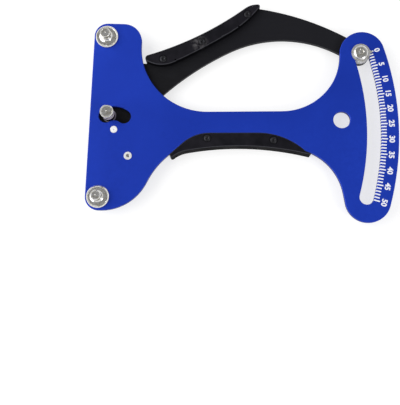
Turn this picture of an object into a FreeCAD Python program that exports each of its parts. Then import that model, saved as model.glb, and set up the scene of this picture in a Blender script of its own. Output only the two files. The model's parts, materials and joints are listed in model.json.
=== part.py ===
"""Spoke tension meter: a squeezed lever deflects a wheel spoke between three posts.

All outlines are drawn about the lever's pivot, which is the natural centre of the tool:
the kidney slot, the arc slot, the scale and the outer edge of the plate are concentric with it.
X runs along the tool towards the scale, Y across it towards the lever grip, Z out of the face.
"""
import FreeCAD, Part
import math
import os
import Sketcher

# Driving dimensions in millimetres and degrees: name, value, meaning.
SIZES = (
    ("pivot_x", -87.8, "pivot, along X from the middle of the tool's footprint"),
    ("pivot_y", -17.45, "pivot, along Y from the middle of the tool's footprint"),
    # Stack from the rest surface up
    ("lever_level", 4.0, "rear face of the lever above the rear faces of the grips"),
    ("lever_thickness", 3.0, "steel lever"),
    ("plate_gap", 1.0, "space between the lever and the plate"),
    ("plate_thickness", 3.0, "aluminium plate"),
    ("plate_chamfer", 0.35, "broken edges of the plate's face"),
    # Plate, round the posts
    ("post_offset", 8.15, "line of the fixed posts, left of the pivot"),
    ("upper_post_rise", 65.15, "upper post above the pivot"),
    ("lower_post_drop", 46.65, "lower post below the pivot"),
    ("left_margin", 8.85, "post line to the plate's left edge"),
    ("top_margin", 9.95, "upper post to the plate's top edge"),
    ("bottom_margin", 9.1, "lower post to the plate's bottom edge"),
    ("corner_radius", 9.0, "plate corners beside the posts"),
    ("shoulder_radius", 12.7, "upper right corner of the plate"),
    ("heel_radius", 34.1, "convex sweep right of the lower post"),
    # Plate, neck
    ("throat_radius", 45.9, "hollow from the shoulder into the neck"),
    ("throat_x", 61.9, "its centre"),
    ("throat_y", 60.1, "its centre"),
    ("upper_ear_hollow_radius", 39.8, "hollow from the neck into the upper ear"),
    ("upper_ear_hollow_drop", 2.4, "its centre, below the upper ear's"),
    ("belly_radius", 54.6, "hollow from the heel towards the grip seat"),
    ("belly_slope", 43.5, "angle of the straight from that hollow to the grip seat"),
    ("belly_y", -57.7, "its centre"),
    ("seat_left_radius", 27.2, "left end of the grip seat"),
    ("seat_left_x", 66.1, "its centre"),
    ("seat_left_y", -0.3, "its highest point"),
    ("seat_right_radius", 47.2, "right end of the grip seat"),
    ("seat_right_y", 0.8, "its highest point"),
    ("seat_end_x", 61.42, "where the seat ends, inwards from the outer edge"),
    ("seat_end_y", -11.5, "where the seat ends"),
    ("seat_tip_radius", 1.5, "rounded corner where the seat ends"),
    ("lower_ear_hollow_radius", 37.2, "hollow from the seat into the lower ear"),
    ("lower_ear_slope", 78.0, "angle of the straight between that hollow and the ear"),
    ("lower_ear_hollow_y", -46.4, "its centre"),
    # Plate, scale sector
    ("outer_rim", 16.4, "outer edge of the plate, beyond the middle of the arc slot"),
    ("lower_ear_radius", 15.2, "lower right corner"),
    ("lower_ear_y", -1.74, "its centre, up from the end of the arc slot"),
    ("upper_ear_radius", 15.2, "upper right corner"),
    ("upper_ear_y", 0.15, "its centre, up from the end of the arc slot"),
    ("scale_radius", 176.2, "middle of the arc slot about the pivot"),
    ("scale_zero_angle", 19.27, "pointer at 0, from +X"),
    ("scale_travel", 32.68, "pointer from 0 to 50"),
    ("arc_slot_half_width", 4.85, "arc slot"),
    ("hanging_hole_x", 38.3, "hanging hole, inwards from the outer edge"),
    ("hanging_hole_y", 11.3, "hanging hole"),
    ("hanging_hole_radius", 5.7, "hanging hole"),
    # Plate, kidney slot and eyelet
    ("kidney_radius", 11.2, "middle of the kidney slot about the pivot"),
    ("kidney_half_width", 4.8, "kidney slot"),
    ("kidney_left_angle", 123.2, "left end of the kidney slot, from +X"),
    ("kidney_right_angle", 54.6, "right end of the kidney slot, from +X"),
    ("eyelet_x", 10.6, "spring eyelet"),
    ("eyelet_y", -18.0, "spring eyelet"),
    ("eyelet_bore", 1.25, "inside radius of the eyelet"),
    ("eyelet_wall", 0.6, "wall of the eyelet"),
    ("eyelet_flange", 2.75, "radius of the rolled front flange"),
    ("eyelet_flange_height", 0.5, "front flange above the plate"),
    ("eyelet_flare", 2.4, "radius of the flare behind the plate"),
    ("eyelet_flare_height", 0.5, "flare behind the plate"),
    # Fixed posts
    ("flange_radius", 7.7, "base flange of a fixed post"),
    ("flange_height", 1.8, "base flange of a fixed post"),
    ("rim_width", 0.6, "flat rim of the flange"),
    ("dish_depth", 0.35, "dish inside the rim"),
    ("dish_sweep", 5.2, "radius of the sweep from the dish to the neck"),
    ("post_neck_radius", 2.7, "groove that the spoke lies in"),
    ("post_neck_height", 5.0, "groove above the plate"),
    ("post_head_radius", 3.45, "head of a fixed post"),
    ("post_flare", 1.1, "height of the flare from neck to head"),
    ("post_height", 8.8, "top of the posts above the plate"),
    ("edge_break", 0.3, "chamfer on turned parts"),
    # Countersunk screws that hold the posts
    ("post_screw_radius", 2.0, "shank of a countersunk screw"),
    ("post_screw_head", 3.7, "head radius of a countersunk screw"),
    ("post_screw_grip", 4.0, "depth of the thread in a post"),
    ("screw_tip_gap", 0.3, "tip of a post's screw to the end of its thread"),
    # Pivot
    ("pin_radius", 2.45, "pivot pin"),
    ("pin_rear_level", 0.2, "rear end of the pivot pin"),
    ("pin_chamfer", 0.2, "broken edges of the pivot pin"),
    ("pin_dimple", 0.6, "turning centre in the pin's front"),
    ("pin_dimple_floor", 0.2, "radius of the turning centre's floor"),
    ("running_gap", 0.04, "radial running fit of the bush on the pin"),
    ("bush_radius", 3.8, "bush pressed into the lever"),
    ("arbor_radius", 4.2, "rear collar of the bush, inside the spring"),
    ("washer_radius", 4.6, "pivot washer"),
    ("washer_bore_gap", 0.1, "radial clearance of the pivot washer on the pin"),
    ("washer_play", 0.1, "play between the pivot washer and the lever"),
    ("clip_radius", 4.3, "retaining clip"),
    ("clip_thickness", 0.5, "retaining clip"),
    ("clip_level", 0.5, "rear face of the clip"),
    ("clip_groove", 0.6, "depth of the clip's groove in the pin"),
    ("clip_play", 0.1, "play between the clip and the bush"),
    ("clip_mouth", 3.4, "width of the clip's mouth"),
    # Lever
    ("head_radius", 18.0, "lever head round the pivot"),
    ("head_x", 1.5, "its centre"),
    ("head_y", 1.5, "its centre"),
    ("armpit_radius", 8.0, "inside curve between head and arm"),
    ("arm_lower_radius", 196.7, "lower edge of the arm"),
    ("arm_lower_x", 168.0, "its centre"),
    ("bow_radius", 82.2, "arched lower edge of the lever"),
    ("bow_x", 51.08, "its centre, left of the pointer"),
    ("lever_end_radius", 6.5, "lever end round the pointer screw"),
    ("back_radius", 187.0, "upper edge from the grip to the lever end"),
    ("back_top", 91.65, "its highest point"),
    ("apex_radius", 1.5, "corner under the tip of the grip"),
    ("grip_cover", 2.0, "grip material outside the lever's edge"),
    ("step_x", 22.6, "step in the lever's edge that stops the grip"),
    ("step_radius", 1.0, "corners of that step"),
    ("step_drop", 3.4, "height of that step"),
    ("lever_corner_x", 10.0, "hidden top corner of the lever"),
    ("lever_corner_radius", 6.0, "hidden top corner of the lever"),
    # Lever grip
    ("grip_back_radius", 218.8, "hollow upper edge of the lever grip"),
    ("grip_back_x", -48.3, "its centre"),
    ("grip_back_y", 260.7, "its centre"),
    ("grip_heel_radius", 20.2, "rounded lower left end"),
    ("grip_heel_x", 30.0, "its centre"),
    ("grip_heel_y", 66.5, "its centre"),
    ("grip_palm_radius", 404.7, "long lower edge"),
    ("grip_front_radius", 79.0, "lower edge towards the tip"),
    ("grip_front_x", 32.9, "its centre"),
    ("grip_front_y", 136.0, "its centre"),
    ("grip_tip_radius", 1.3, "tip"),
    ("grip_tip_x", 95.7, "its centre"),
    ("grip_nose_radius", 14.0, "upper edge behind the tip"),
    ("grip_tail_radius", 2.35, "left end"),
    ("grip_edge", 0.9, "rounded edges of the lever grip"),
    ("lever_grip_rise", 0.5, "lever grip's face above the plate's face"),
    ("bed_gap", 0.15, "lever's edge to the grip halves round it"),
    # Frame grip
    ("palm_radius", 199.85, "hollow lower edge of the frame grip"),
    ("palm_left_x", 44.0, "its left end"),
    ("palm_left_y", -14.46, "its left end"),
    ("palm_right_depth", 1.15, "its right end, below the end of the seat"),
    ("seat_gap", 0.1, "frame grip to the plate's edge"),
    ("frame_grip_tip", 0.5, "rounded right tip of the frame grip"),
    ("toe_radius", 1.3, "rounded left tip of the frame grip"),
    ("toe_x", 40.2, "its centre"),
    ("toe_sweep", 20.0, "hollow from the palm into the left tip"),
    ("frame_grip_drop", 0.2, "frame grip's face below the plate's face"),
    ("frame_grip_edge", 0.4, "rounded edges of the frame grip"),
    ("lug_thickness", 1.4, "plate lugs inside the frame grip"),
    ("lug_radius", 3.6, "plate lugs round their screws"),
    ("lug_rise", 7.2, "top of the lugs above their screws, inside the plate"),
    ("lug_corner", 0.4, "upper corners of the lugs, inside the plate"),
    # Grip screws
    ("frame_screw_1_x", 63.9, "first screw of the frame grip"),
    ("frame_screw_2_x", 83.8, "second screw of the frame grip, inwards from the outer edge"),
    ("frame_screw_y", -4.0, "screws of the frame grip"),
    ("lever_screw_1_x", 31.5, "first screw of the lever grip"),
    ("lever_screw_1_y", 50.5, "first screw of the lever grip"),
    ("lever_screw_2_x", 58.0, "second screw of the lever grip"),
    ("lever_screw_2_y", 63.6, "second screw of the lever grip"),
    ("lever_screw_3_x", 88.5, "third screw of the lever grip"),
    ("lever_screw_3_y", 84.1, "third screw of the lever grip"),
    ("pin_hole_1_x", 40.0, "first pin hole in the lever grip's face"),
    ("pin_hole_1_y", 50.1, "first pin hole in the lever grip's face"),
    ("pin_hole_2_x", 82.9, "second pin hole in the lever grip's face"),
    ("pin_hole_2_y", 75.1, "second pin hole in the lever grip's face"),
    ("pin_hole_radius", 0.6, "pin holes"),
    ("pin_hole_depth", 2.0, "pin holes"),
    ("screw_radius", 1.5, "shank of a grip screw"),
    ("screw_head_radius", 2.4, "button head of a grip screw"),
    ("screw_head_height", 1.2, "button head of a grip screw"),
    ("screw_head_edge", 0.6, "broken edge of the button head"),
    ("screw_seat", 0.9, "depth of the heads' seats below the lever grip's face"),
    ("frame_screw_seat", 0.9, "depth of the heads' seats below the frame grip's face"),
    ("screw_clearance", 0.1, "radial clearance of the screws and their heads"),
    ("screw_socket", 1.0, "hexagon socket, centre to flat"),
    ("screw_socket_depth", 0.9, "hexagon socket"),
    ("screw_end_level", 1.0, "rear end of the grip screws"),
    ("spot_radius", 3.0, "shallow ring recess round a screw"),
    ("spot_depth", 0.3, "shallow ring recess round a screw"),
    # Moving post
    ("moving_post_radius", 11.0, "moving post from the pivot"),
    ("moving_post_angle", 111.5, "moving post with the pointer at 0, from +X"),
    ("collar_radius", 4.6, "collar on the lever"),
    ("collar_play", 0.3, "collar to the plate's rear face"),
    ("barrel_radius", 4.2, "barrel through the kidney slot"),
    ("barrel_height", 2.4, "top of the barrel above the plate"),
    ("moving_neck_radius", 2.6, "groove that the spoke lies in"),
    ("cap_radius", 4.5, "cap"),
    ("cap_thickness", 1.3, "cap"),
    ("cap_recess", 0.25, "recess inside the cap's rim"),
    ("moving_screw_grip", 5.0, "depth of the thread in the moving post"),
    # Pointer
    ("pointer_screw_radius", 2.0, "pointer screw"),
    ("pointer_hole_gap", 0.1, "radial clearance round the pointer screw"),
    ("pointer_washer_radius", 6.3, "both pointer washers"),
    ("pointer_washer_thickness", 1.0, "nibbed washer"),
    ("pointer_play", 0.2, "each pointer washer to the plate"),
    ("nib_turn", 12.0, "direction of the nib, clockwise from the radius through the pointer"),
    ("nib_reach", 7.9, "tip of the nib from the pointer's centre"),
    ("nib_half_width", 1.5, "root of the nib"),
    ("nib_point", 0.35, "half width of the nib's tip"),
    ("nib_root", 5.55, "root of the nib from the pointer's centre, inside the washer"),
    ("slot_play", 0.25, "radial play of the pointer bush in the arc slot"),
    ("pointer_head_radius", 5.0, "dome head"),
    ("pointer_head_height", 2.3, "dome head"),
    ("pointer_head_edge", 0.5, "upright edge of the dome head"),
    ("dome_shoulder_radius", 4.1, "where the dome turns from steep to flat"),
    ("dome_shoulder_rise", 1.26, "that turn above the upright edge"),
    ("dome_top_radius", 2.66, "flat top of the dome"),
    ("pointer_socket", 1.5, "hexagon socket, centre to flat"),
    ("pointer_socket_depth", 1.3, "hexagon socket"),
    ("nut_half_width", 3.5, "pointer nut, centre to flat"),
    ("nut_height", 3.0, "pointer nut"),
    ("nut_thread_end", 0.4, "thread showing behind the nut"),
    # Return spring
    ("wire_radius", 0.6, "spring wire"),
    ("coil_radius", 5.2, "middle of the wire about the pivot"),
    ("coil_pitch", 1.4, "rise of one turn"),
    ("coil_play", 0.05, "coil to the lever"),
    ("whole_turns", 1.0, "full turns before the legs leave the coil"),
    ("spring_hole_radius", 14.0, "spring hole in the lever, from the pivot"),
    ("spring_hole_angle", 38.0, "spring hole in the lever, from +X"),
    ("spring_hole_gap", 0.15, "radial clearance of the spring's end"),
    ("leg_bend", 0.8, "radius of the bend at each leg's end"),
    ("spring_end", 0.3, "spring's ends below the front faces of the lever and the plate"),
)

doc = FreeCAD.newDocument("spoke_tension_meter")
sheet = doc.addObject("Spreadsheet::Sheet", "Sizes")


class Size:
    """A length or angle: its present value, and the expression that ties it to the sheet."""

    def __init__(self, value, text):
        self.value = value
        self.text = text

    def __add__(self, other):
        other = as_size(other)
        return Size(self.value + other.value, f"({self.text} + {other.text})")

    def __sub__(self, other):
        other = as_size(other)
        return Size(self.value - other.value, f"({self.text} - {other.text})")

    def __mul__(self, other):
        other = as_size(other)
        return Size(self.value * other.value, f"({self.text}) * ({other.text})")

    def __truediv__(self, other):
        other = as_size(other)
        return Size(self.value / other.value, f"({self.text}) / ({other.text})")

    def __neg__(self):
        return Size(-self.value, f"(0 - {self.text})")


def as_size(number):
    if isinstance(number, Size):
        return number
    return Size(float(number), f"{float(number)}")


def root(square):
    return Size(math.sqrt(square.value), f"sqrt({square.text})")


def cosine(angle):
    return Size(math.cos(math.radians(angle.value)), f"cos({angle.text} * 1 deg)")


def sine(angle):
    return Size(math.sin(math.radians(angle.value)), f"sin({angle.text} * 1 deg)")


class Sheet:
    """The driving dimensions by name."""

    def __init__(self, rows):
        for number, (name, value, meaning) in enumerate(rows, start=1):
            sheet.set(f"A{number}", name)
            sheet.set(f"B{number}", str(value))
            sheet.set(f"C{number}", meaning)
            sheet.setAlias(f"B{number}", name)
            setattr(self, name, Size(value, f"Sizes.{name}"))


mm = Sheet(SIZES)
doc.recompute()

ZERO = as_size(0)
COUNTER_CLOCKWISE = 1
CLOCKWISE = -1
HALF_TURN = 180
XY = "XY_Plane"
XZ = "XZ_Plane"

# Levels above the rest surface
lever_face = mm.lever_level + mm.lever_thickness
plate_rear = lever_face + mm.plate_gap
plate_face = plate_rear + mm.plate_thickness


# ---------------------------------------------------------------- bodies, sketches and features

def new_body(label, x=ZERO, y=ZERO, level=ZERO):
    """A body whose own origin stands at x, y from the pivot, at the given level."""
    body = doc.addObject("PartDesign::Body", label)
    body.Label = label
    body.setExpression("Placement.Base.x", (mm.pivot_x + x).text)
    body.setExpression("Placement.Base.y", (mm.pivot_y + y).text)
    body.setExpression("Placement.Base.z", level.text)
    return body


def new_sketch(body, name, plane=XY, level=None):
    """A sketch on one of the body's own planes, raised to a level above it."""
    sketch = body.newObject("Sketcher::SketchObject", f"{body.Label}_{name}")
    support = [item for item in body.Origin.OriginFeatures if item.Role == plane][0]
    sketch.AttachmentSupport = [(support, "")]
    sketch.MapMode = "FlatFace"
    if level is not None:
        sketch.setExpression("AttachmentOffset.Base.z", level.text)
    return sketch


def dimension(sketch, kind, *references, size):
    """A driving dimension tied to the sheet."""
    value = abs(size.value) if kind == "Radius" else size.value
    index = sketch.addConstraint(Sketcher.Constraint(kind, *references, value))
    sketch.setExpression(f"Constraints[{index}]", size.text)


def place_point(sketch, geometry, point, x, y):
    """Holds a point of the sketch at x, y from its origin."""
    dimension(sketch, "DistanceX", -1, 1, geometry, point, size=x)
    dimension(sketch, "DistanceY", -1, 1, geometry, point, size=y)


def pad(body, sketch, length):
    feature = body.newObject("PartDesign::Pad", f"{sketch.Label}_pad")
    feature.Profile = sketch
    feature.setExpression("Length", length.text)
    body.Tip = feature
    sketch.Visibility = False
    return feature


def revolve(body, sketch):
    feature = body.newObject("PartDesign::Revolution", f"{sketch.Label}_turned")
    feature.Profile = sketch
    feature.ReferenceAxis = (sketch, ["V_Axis"])
    feature.Angle = 360
    body.Tip = feature
    return feature


def cut(body, sketch, depth=None, upward=True):
    """A pocket through the body, or of one depth to one side of its sketch."""
    doc.recompute()
    before = body.Tip.Shape.Volume
    feature = body.newObject("PartDesign::Pocket", f"{sketch.Label}_cut")
    feature.Profile = sketch
    if depth is None:
        feature.Type = "ThroughAll"
        feature.SideType = "Symmetric"
    else:
        feature.Type = "Length"
        feature.setExpression("Length", depth.text)
        feature.Reversed = upward
    body.Tip = feature
    doc.recompute()
    if not feature.Shape.Volume < before:
        raise RuntimeError(f"{feature.Label} removed nothing")
    return feature


def edges_where(shape, accept):
    """Names of the edges whose bounding box passes the test."""
    return [f"Edge{number}" for number, edge in enumerate(shape.Edges, start=1) if accept(edge)]


def break_edges(body, kind, size, accept):
    """A fillet or chamfer on the edges of the body's tip that pass the test."""
    doc.recompute()
    base = body.Tip
    names = edges_where(base.Shape, accept)
    feature = body.newObject(f"PartDesign::{kind}", f"{body.Label}_{kind.lower()}")
    feature.Base = (base, names)
    feature.setExpression("Radius" if kind == "Fillet" else "Size", size.text)
    body.Tip = feature
    doc.recompute()
    return feature


def lies_at(level):
    """A test for edges that lie in one level of their body."""
    def accept(edge):
        box = edge.BoundBox
        return abs(box.ZMin - level) < 1e-4 and abs(box.ZMax - level) < 1e-4
    return accept


def ring_at(level, radius):
    """A test for round edges of one radius at one level."""
    def accept(edge):
        if not isinstance(edge.Curve, Part.Circle):
            return False
        level_fits = abs(edge.Curve.Center.z - level.value) < 1e-4
        return level_fits and abs(edge.Curve.Radius - radius.value) < 1e-4
    return accept


# ---------------------------------------------------------------- outlines of tangent arcs

class Arc:
    """A stretch of an outline: its turn, centre and radius, and which of them the sheet holds.

    A centre without dimensions is set by the tangency to its neighbours.
    """

    def __init__(self, turn, radius, x=None, y=None, centre=None, about_origin=False):
        self.turn = turn
        self.about_origin = about_origin
        self.radius = radius
        self.x = x
        self.y = y
        self.centre = centre or (x.value, y.value)

    def signed(self):
        return self.turn * self.radius.value


class Straight:
    """A straight stretch of an outline, tangent to its neighbours, at an angle if one is given."""

    def __init__(self, heading=None):
        self.heading = heading


LINE = Straight()


def meet(first, second, straight):
    """Where two successive arcs hand over, directly or by a tangent line."""
    dx = second.centre[0] - first.centre[0]
    dy = second.centre[1] - first.centre[1]
    reach = math.hypot(dx, dy)
    ratio = (second.signed() - first.signed()) / reach
    if straight and abs(ratio) > 1:
        raise RuntimeError("two arcs of an outline are too close for a straight between them")
    heading = math.atan2(dy, dx) - math.asin(max(-1.0, min(1.0, ratio)))
    normal = (-math.sin(heading), math.cos(heading))
    return [
        (arc.centre[0] - arc.signed() * normal[0], arc.centre[1] - arc.signed() * normal[1])
        for arc in (first, second)
    ]


def blend(turn, radius, before, after, near):
    """An arc of one radius, tangent to the arcs before and after it."""
    first = abs(turn * radius.value - before.signed())
    second = abs(after.signed() - turn * radius.value)
    dx = after.centre[0] - before.centre[0]
    dy = after.centre[1] - before.centre[1]
    reach = math.hypot(dx, dy)
    along = (first ** 2 - second ** 2 + reach ** 2) / (2 * reach)
    across = math.sqrt(max(0.0, first ** 2 - along ** 2))
    choices = [
        (
            before.centre[0] + (along * dx - side * across * dy) / reach,
            before.centre[1] + (along * dy + side * across * dx) / reach,
        )
        for side in (1, -1)
    ]
    choices.sort(key=lambda point: math.hypot(point[0] - near[0], point[1] - near[1]))
    return Arc(turn, radius, centre=choices[0])


def touching(turn, radius, other, x=None, y=None, side=1):
    """An arc tangent to another one, with one coordinate of its centre given.

    The other coordinate lies on the given side of the other arc's centre.
    """
    reach = abs(turn * radius.value - other.signed())
    if x is not None:
        along = math.sqrt(reach ** 2 - (x.value - other.centre[0]) ** 2)
        return Arc(turn, radius, x=x, centre=(x.value, other.centre[1] + side * along))
    along = math.sqrt(reach ** 2 - (y.value - other.centre[1]) ** 2)
    return Arc(turn, radius, y=y, centre=(other.centre[0] + side * along, y.value))


def before_straight(turn, radius, after, heading, y):
    """An arc whose straight of a given heading leads into the arc after it."""
    angle = math.radians(heading.value)
    normal = (-math.sin(angle), math.cos(angle))
    level = after.centre[0] * normal[0] + after.centre[1] * normal[1] - after.signed()
    x = (level + turn * radius.value - y.value * normal[1]) / normal[0]
    return Arc(turn, radius, y=y, centre=(x, y.value))


def after_straight(turn, radius, before, heading, x):
    """An arc that a straight of a given heading leads into from the arc before it."""
    angle = math.radians(heading.value)
    normal = (-math.sin(angle), math.cos(angle))
    level = before.centre[0] * normal[0] + before.centre[1] * normal[1] - before.signed()
    y = (level + turn * radius.value - x.value * normal[0]) / normal[1]
    return Arc(turn, radius, x=x, centre=(x.value, y))


def draw_arc(sketch, arc, start, end):
    """Adds the arc from start to end, and returns its index and its two end points."""
    angles = [math.atan2(p[1] - arc.centre[1], p[0] - arc.centre[0]) for p in (start, end)]
    if arc.turn == CLOCKWISE:
        angles.reverse()
    circle = Part.Circle(
        FreeCAD.Vector(*arc.centre, 0), FreeCAD.Vector(0, 0, 1), arc.radius.value
    )
    index = sketch.addGeometry(Part.ArcOfCircle(circle, *angles), False)
    ends = (1, 2) if arc.turn == COUNTER_CLOCKWISE else (2, 1)
    return index, *ends


def draw_outline(sketch, chain):
    """A closed outline of arcs, counter-clockwise, with a Straight between arcs or nothing."""
    arcs = [item for item in chain if isinstance(item, Arc)]
    straights = []
    for position, item in enumerate(chain):
        following = chain[(position + 1) % len(chain)]
        if isinstance(item, Arc):
            straights.append(following if isinstance(following, Straight) else None)
    joints = [
        meet(arc, arcs[(number + 1) % len(arcs)], straights[number])
        for number, arc in enumerate(arcs)
    ]
    drawn = [
        draw_arc(sketch, arc, joints[number - 1][1], joints[number][0])
        for number, arc in enumerate(arcs)
    ]
    for number, straight in enumerate(straights):
        index, _, end = drawn[number]
        following, start, _ = drawn[(number + 1) % len(arcs)]
        if straight is None:
            sketch.addConstraint(Sketcher.Constraint("Tangent", index, end, following, start))
            continue
        first, last = (FreeCAD.Vector(*point, 0) for point in joints[number])
        line = sketch.addGeometry(Part.LineSegment(first, last), False)
        sketch.addConstraint(Sketcher.Constraint("Tangent", index, end, line, 1))
        sketch.addConstraint(Sketcher.Constraint("Tangent", line, 2, following, start))
        if straight.heading is not None:
            angle = math.radians(straight.heading.value)
            turned = sketch.addConstraint(Sketcher.Constraint("Angle", line, angle))
            sketch.setExpression(f"Constraints[{turned}]", f"{straight.heading.text} * 1 deg")
    for (index, _, _), arc in zip(drawn, arcs):
        dimension(sketch, "Radius", index, size=arc.radius)
        if arc.about_origin:
            sketch.addConstraint(Sketcher.Constraint("Coincident", index, 3, -1, 1))
        if arc.x is not None:
            dimension(sketch, "DistanceX", -1, 1, index, 3, size=arc.x)
        if arc.y is not None:
            dimension(sketch, "DistanceY", -1, 1, index, 3, size=arc.y)


def draw_circle(sketch, x, y, radius):
    centre = FreeCAD.Vector(x.value, y.value, 0)
    circle = Part.Circle(centre, FreeCAD.Vector(0, 0, 1), radius.value)
    index = sketch.addGeometry(circle, False)
    if x is ZERO and y is ZERO:
        sketch.addConstraint(Sketcher.Constraint("Coincident", index, 3, -1, 1))
    else:
        place_point(sketch, index, 3, x, y)
    dimension(sketch, "Radius", index, size=radius)
    return index


def draw_polygon(sketch, points):
    """A closed outline through points given as pairs of sizes."""
    lines = []
    for number, (x, y) in enumerate(points):
        next_x, next_y = points[(number + 1) % len(points)]
        lines.append(sketch.addGeometry(Part.LineSegment(
            FreeCAD.Vector(x.value, y.value, 0), FreeCAD.Vector(next_x.value, next_y.value, 0)
        ), False))
    for number, line in enumerate(lines):
        following = lines[(number + 1) % len(lines)]
        sketch.addConstraint(Sketcher.Constraint("Coincident", line, 2, following, 1))
    for line, (x, y) in zip(lines, points):
        hold_point(sketch, line, 1, x, y)
    return lines


def hold_point(sketch, geometry, point, x, y):
    """Dimensions a point, or puts it on an axis where its distance is nothing."""
    if x is ZERO:
        sketch.addConstraint(Sketcher.Constraint("PointOnObject", geometry, point, -2))
    else:
        dimension(sketch, "DistanceX", -1, 1, geometry, point, size=x)
    if y is ZERO:
        sketch.addConstraint(Sketcher.Constraint("PointOnObject", geometry, point, -1))
    else:
        dimension(sketch, "DistanceY", -1, 1, geometry, point, size=y)


def draw_slot(sketch, radius, half_width, first_angle, last_angle):
    """A slot bent about the pivot, with round ends at two angles."""
    ends = [
        (radius * cosine(angle), radius * sine(angle)) for angle in (first_angle, last_angle)
    ]
    outer = Arc(COUNTER_CLOCKWISE, radius + half_width, centre=(0.0, 0.0))
    inner = Arc(CLOCKWISE, radius - half_width, centre=(0.0, 0.0))
    first_end = Arc(COUNTER_CLOCKWISE, half_width, x=ends[0][0], y=ends[0][1])
    last_end = Arc(COUNTER_CLOCKWISE, half_width, x=ends[1][0], y=ends[1][1])
    points = []
    for angle in (first_angle, last_angle):
        direction = (math.cos(math.radians(angle.value)), math.sin(math.radians(angle.value)))
        points.append([
            tuple(arc.radius.value * part for part in direction) for arc in (inner, outer)
        ])
    pieces = [
        draw_arc(sketch, first_end, points[0][0], points[0][1]),
        draw_arc(sketch, outer, points[0][1], points[1][1]),
        draw_arc(sketch, last_end, points[1][1], points[1][0]),
        draw_arc(sketch, inner, points[1][0], points[0][0]),
    ]
    for number, (index, _, end) in enumerate(pieces):
        following, start, _ = pieces[(number + 1) % len(pieces)]
        sketch.addConstraint(Sketcher.Constraint("Tangent", index, end, following, start))
    for piece in (pieces[1], pieces[3]):
        sketch.addConstraint(Sketcher.Constraint("Coincident", piece[0], 3, -1, 1))
    dimension(sketch, "Radius", pieces[0][0], size=half_width)
    place_point(sketch, pieces[0][0], 3, *ends[0])
    dimension(sketch, "DistanceX", -1, 1, pieces[2][0], 3, size=ends[1][0])


def draw_hexagon(sketch, x, y, half_width):
    """A hexagon by its centre and the distance from there to a flat."""
    corner = half_width / math.sqrt(3)
    draw_polygon(sketch, (
        (x + corner * 2, y), (x + corner, y + half_width), (x - corner, y + half_width),
        (x - corner * 2, y), (x - corner, y - half_width), (x + corner, y - half_width),
    ))


def turned_part(label, profile, x=ZERO, y=ZERO, level=ZERO):
    """A body turned from a profile of (radius, height) points about its own upright axis."""
    body = new_body(label, x, y, level)
    sketch = new_sketch(body, "profile", XZ)
    draw_polygon(sketch, profile)
    revolve(body, sketch)
    return body


# ---------------------------------------------------------------- plate

left_edge = -(mm.post_offset + mm.left_margin)
top_edge = mm.upper_post_rise + mm.top_margin
bottom_edge = -(mm.lower_post_drop + mm.bottom_margin)
pointer_x = mm.scale_radius * cosine(mm.scale_zero_angle)
pointer_y = mm.scale_radius * sine(mm.scale_zero_angle)
scale_end_angle = mm.scale_zero_angle - mm.scale_travel
outer_radius = mm.scale_radius + mm.outer_rim
upper_ear_y = pointer_y + mm.upper_ear_y
lower_ear_y = mm.scale_radius * sine(scale_end_angle) + mm.lower_ear_y
seat_left_y = mm.seat_left_y - mm.seat_left_radius
seat_right_y = mm.seat_right_y - mm.seat_right_radius
seat_end_rise = mm.seat_end_y - seat_right_y
seat_end_x = outer_radius - mm.seat_end_x
seat_right_x = seat_end_x - root(
    mm.seat_right_radius * mm.seat_right_radius - seat_end_rise * seat_end_rise
)
frame_screw_2_x = outer_radius - mm.frame_screw_2_x


def outside(radius, x, y):
    return Arc(COUNTER_CLOCKWISE, radius, x, y)


def hollow(radius, x, y):
    return Arc(CLOCKWISE, radius, x, y)


outer_edge = Arc(COUNTER_CLOCKWISE, outer_radius, centre=(0.0, 0.0), about_origin=True)


def plate_outline():
    upper_left = outside(mm.corner_radius, left_edge + mm.corner_radius, top_edge - mm.corner_radius)
    seat_left = hollow(mm.seat_left_radius, mm.seat_left_x, seat_left_y)
    belly_straight = Straight(mm.belly_slope)
    belly = before_straight(
        CLOCKWISE, mm.belly_radius, seat_left, belly_straight.heading, mm.belly_y
    )
    heel = touching(
        COUNTER_CLOCKWISE, mm.heel_radius, belly, y=bottom_edge + mm.heel_radius, side=-1
    )
    lower_left = touching(
        COUNTER_CLOCKWISE, mm.corner_radius, heel, x=left_edge + mm.corner_radius, side=-1
    )
    seat_right = hollow(mm.seat_right_radius, seat_right_x, seat_right_y)
    lower_ear = touching(COUNTER_CLOCKWISE, mm.lower_ear_radius, outer_edge, y=lower_ear_y)
    upper_ear = touching(COUNTER_CLOCKWISE, mm.upper_ear_radius, outer_edge, y=upper_ear_y)
    ear_straight = Straight(-mm.lower_ear_slope)
    lower_ear_hollow = before_straight(
        CLOCKWISE, mm.lower_ear_hollow_radius, lower_ear, ear_straight.heading,
        mm.lower_ear_hollow_y,
    )
    seat_tip = blend(
        COUNTER_CLOCKWISE, mm.seat_tip_radius, seat_right, lower_ear_hollow,
        near=(seat_right.centre[0] + mm.seat_right_radius.value, 0.0),
    )
    upper_ear_hollow = touching(
        CLOCKWISE, mm.upper_ear_hollow_radius, upper_ear,
        y=upper_ear_y - mm.upper_ear_hollow_drop, side=-1,
    )
    throat = hollow(mm.throat_radius, mm.throat_x, mm.throat_y)
    shoulder = touching(
        COUNTER_CLOCKWISE, mm.shoulder_radius, throat, y=top_edge - mm.shoulder_radius, side=-1
    )
    return [
        upper_left, LINE, lower_left, heel, belly, belly_straight, seat_left, LINE, seat_right,
        seat_tip, lower_ear_hollow, ear_straight, lower_ear, outer_edge, upper_ear,
        upper_ear_hollow, LINE, throat, shoulder, LINE,
    ]


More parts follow.
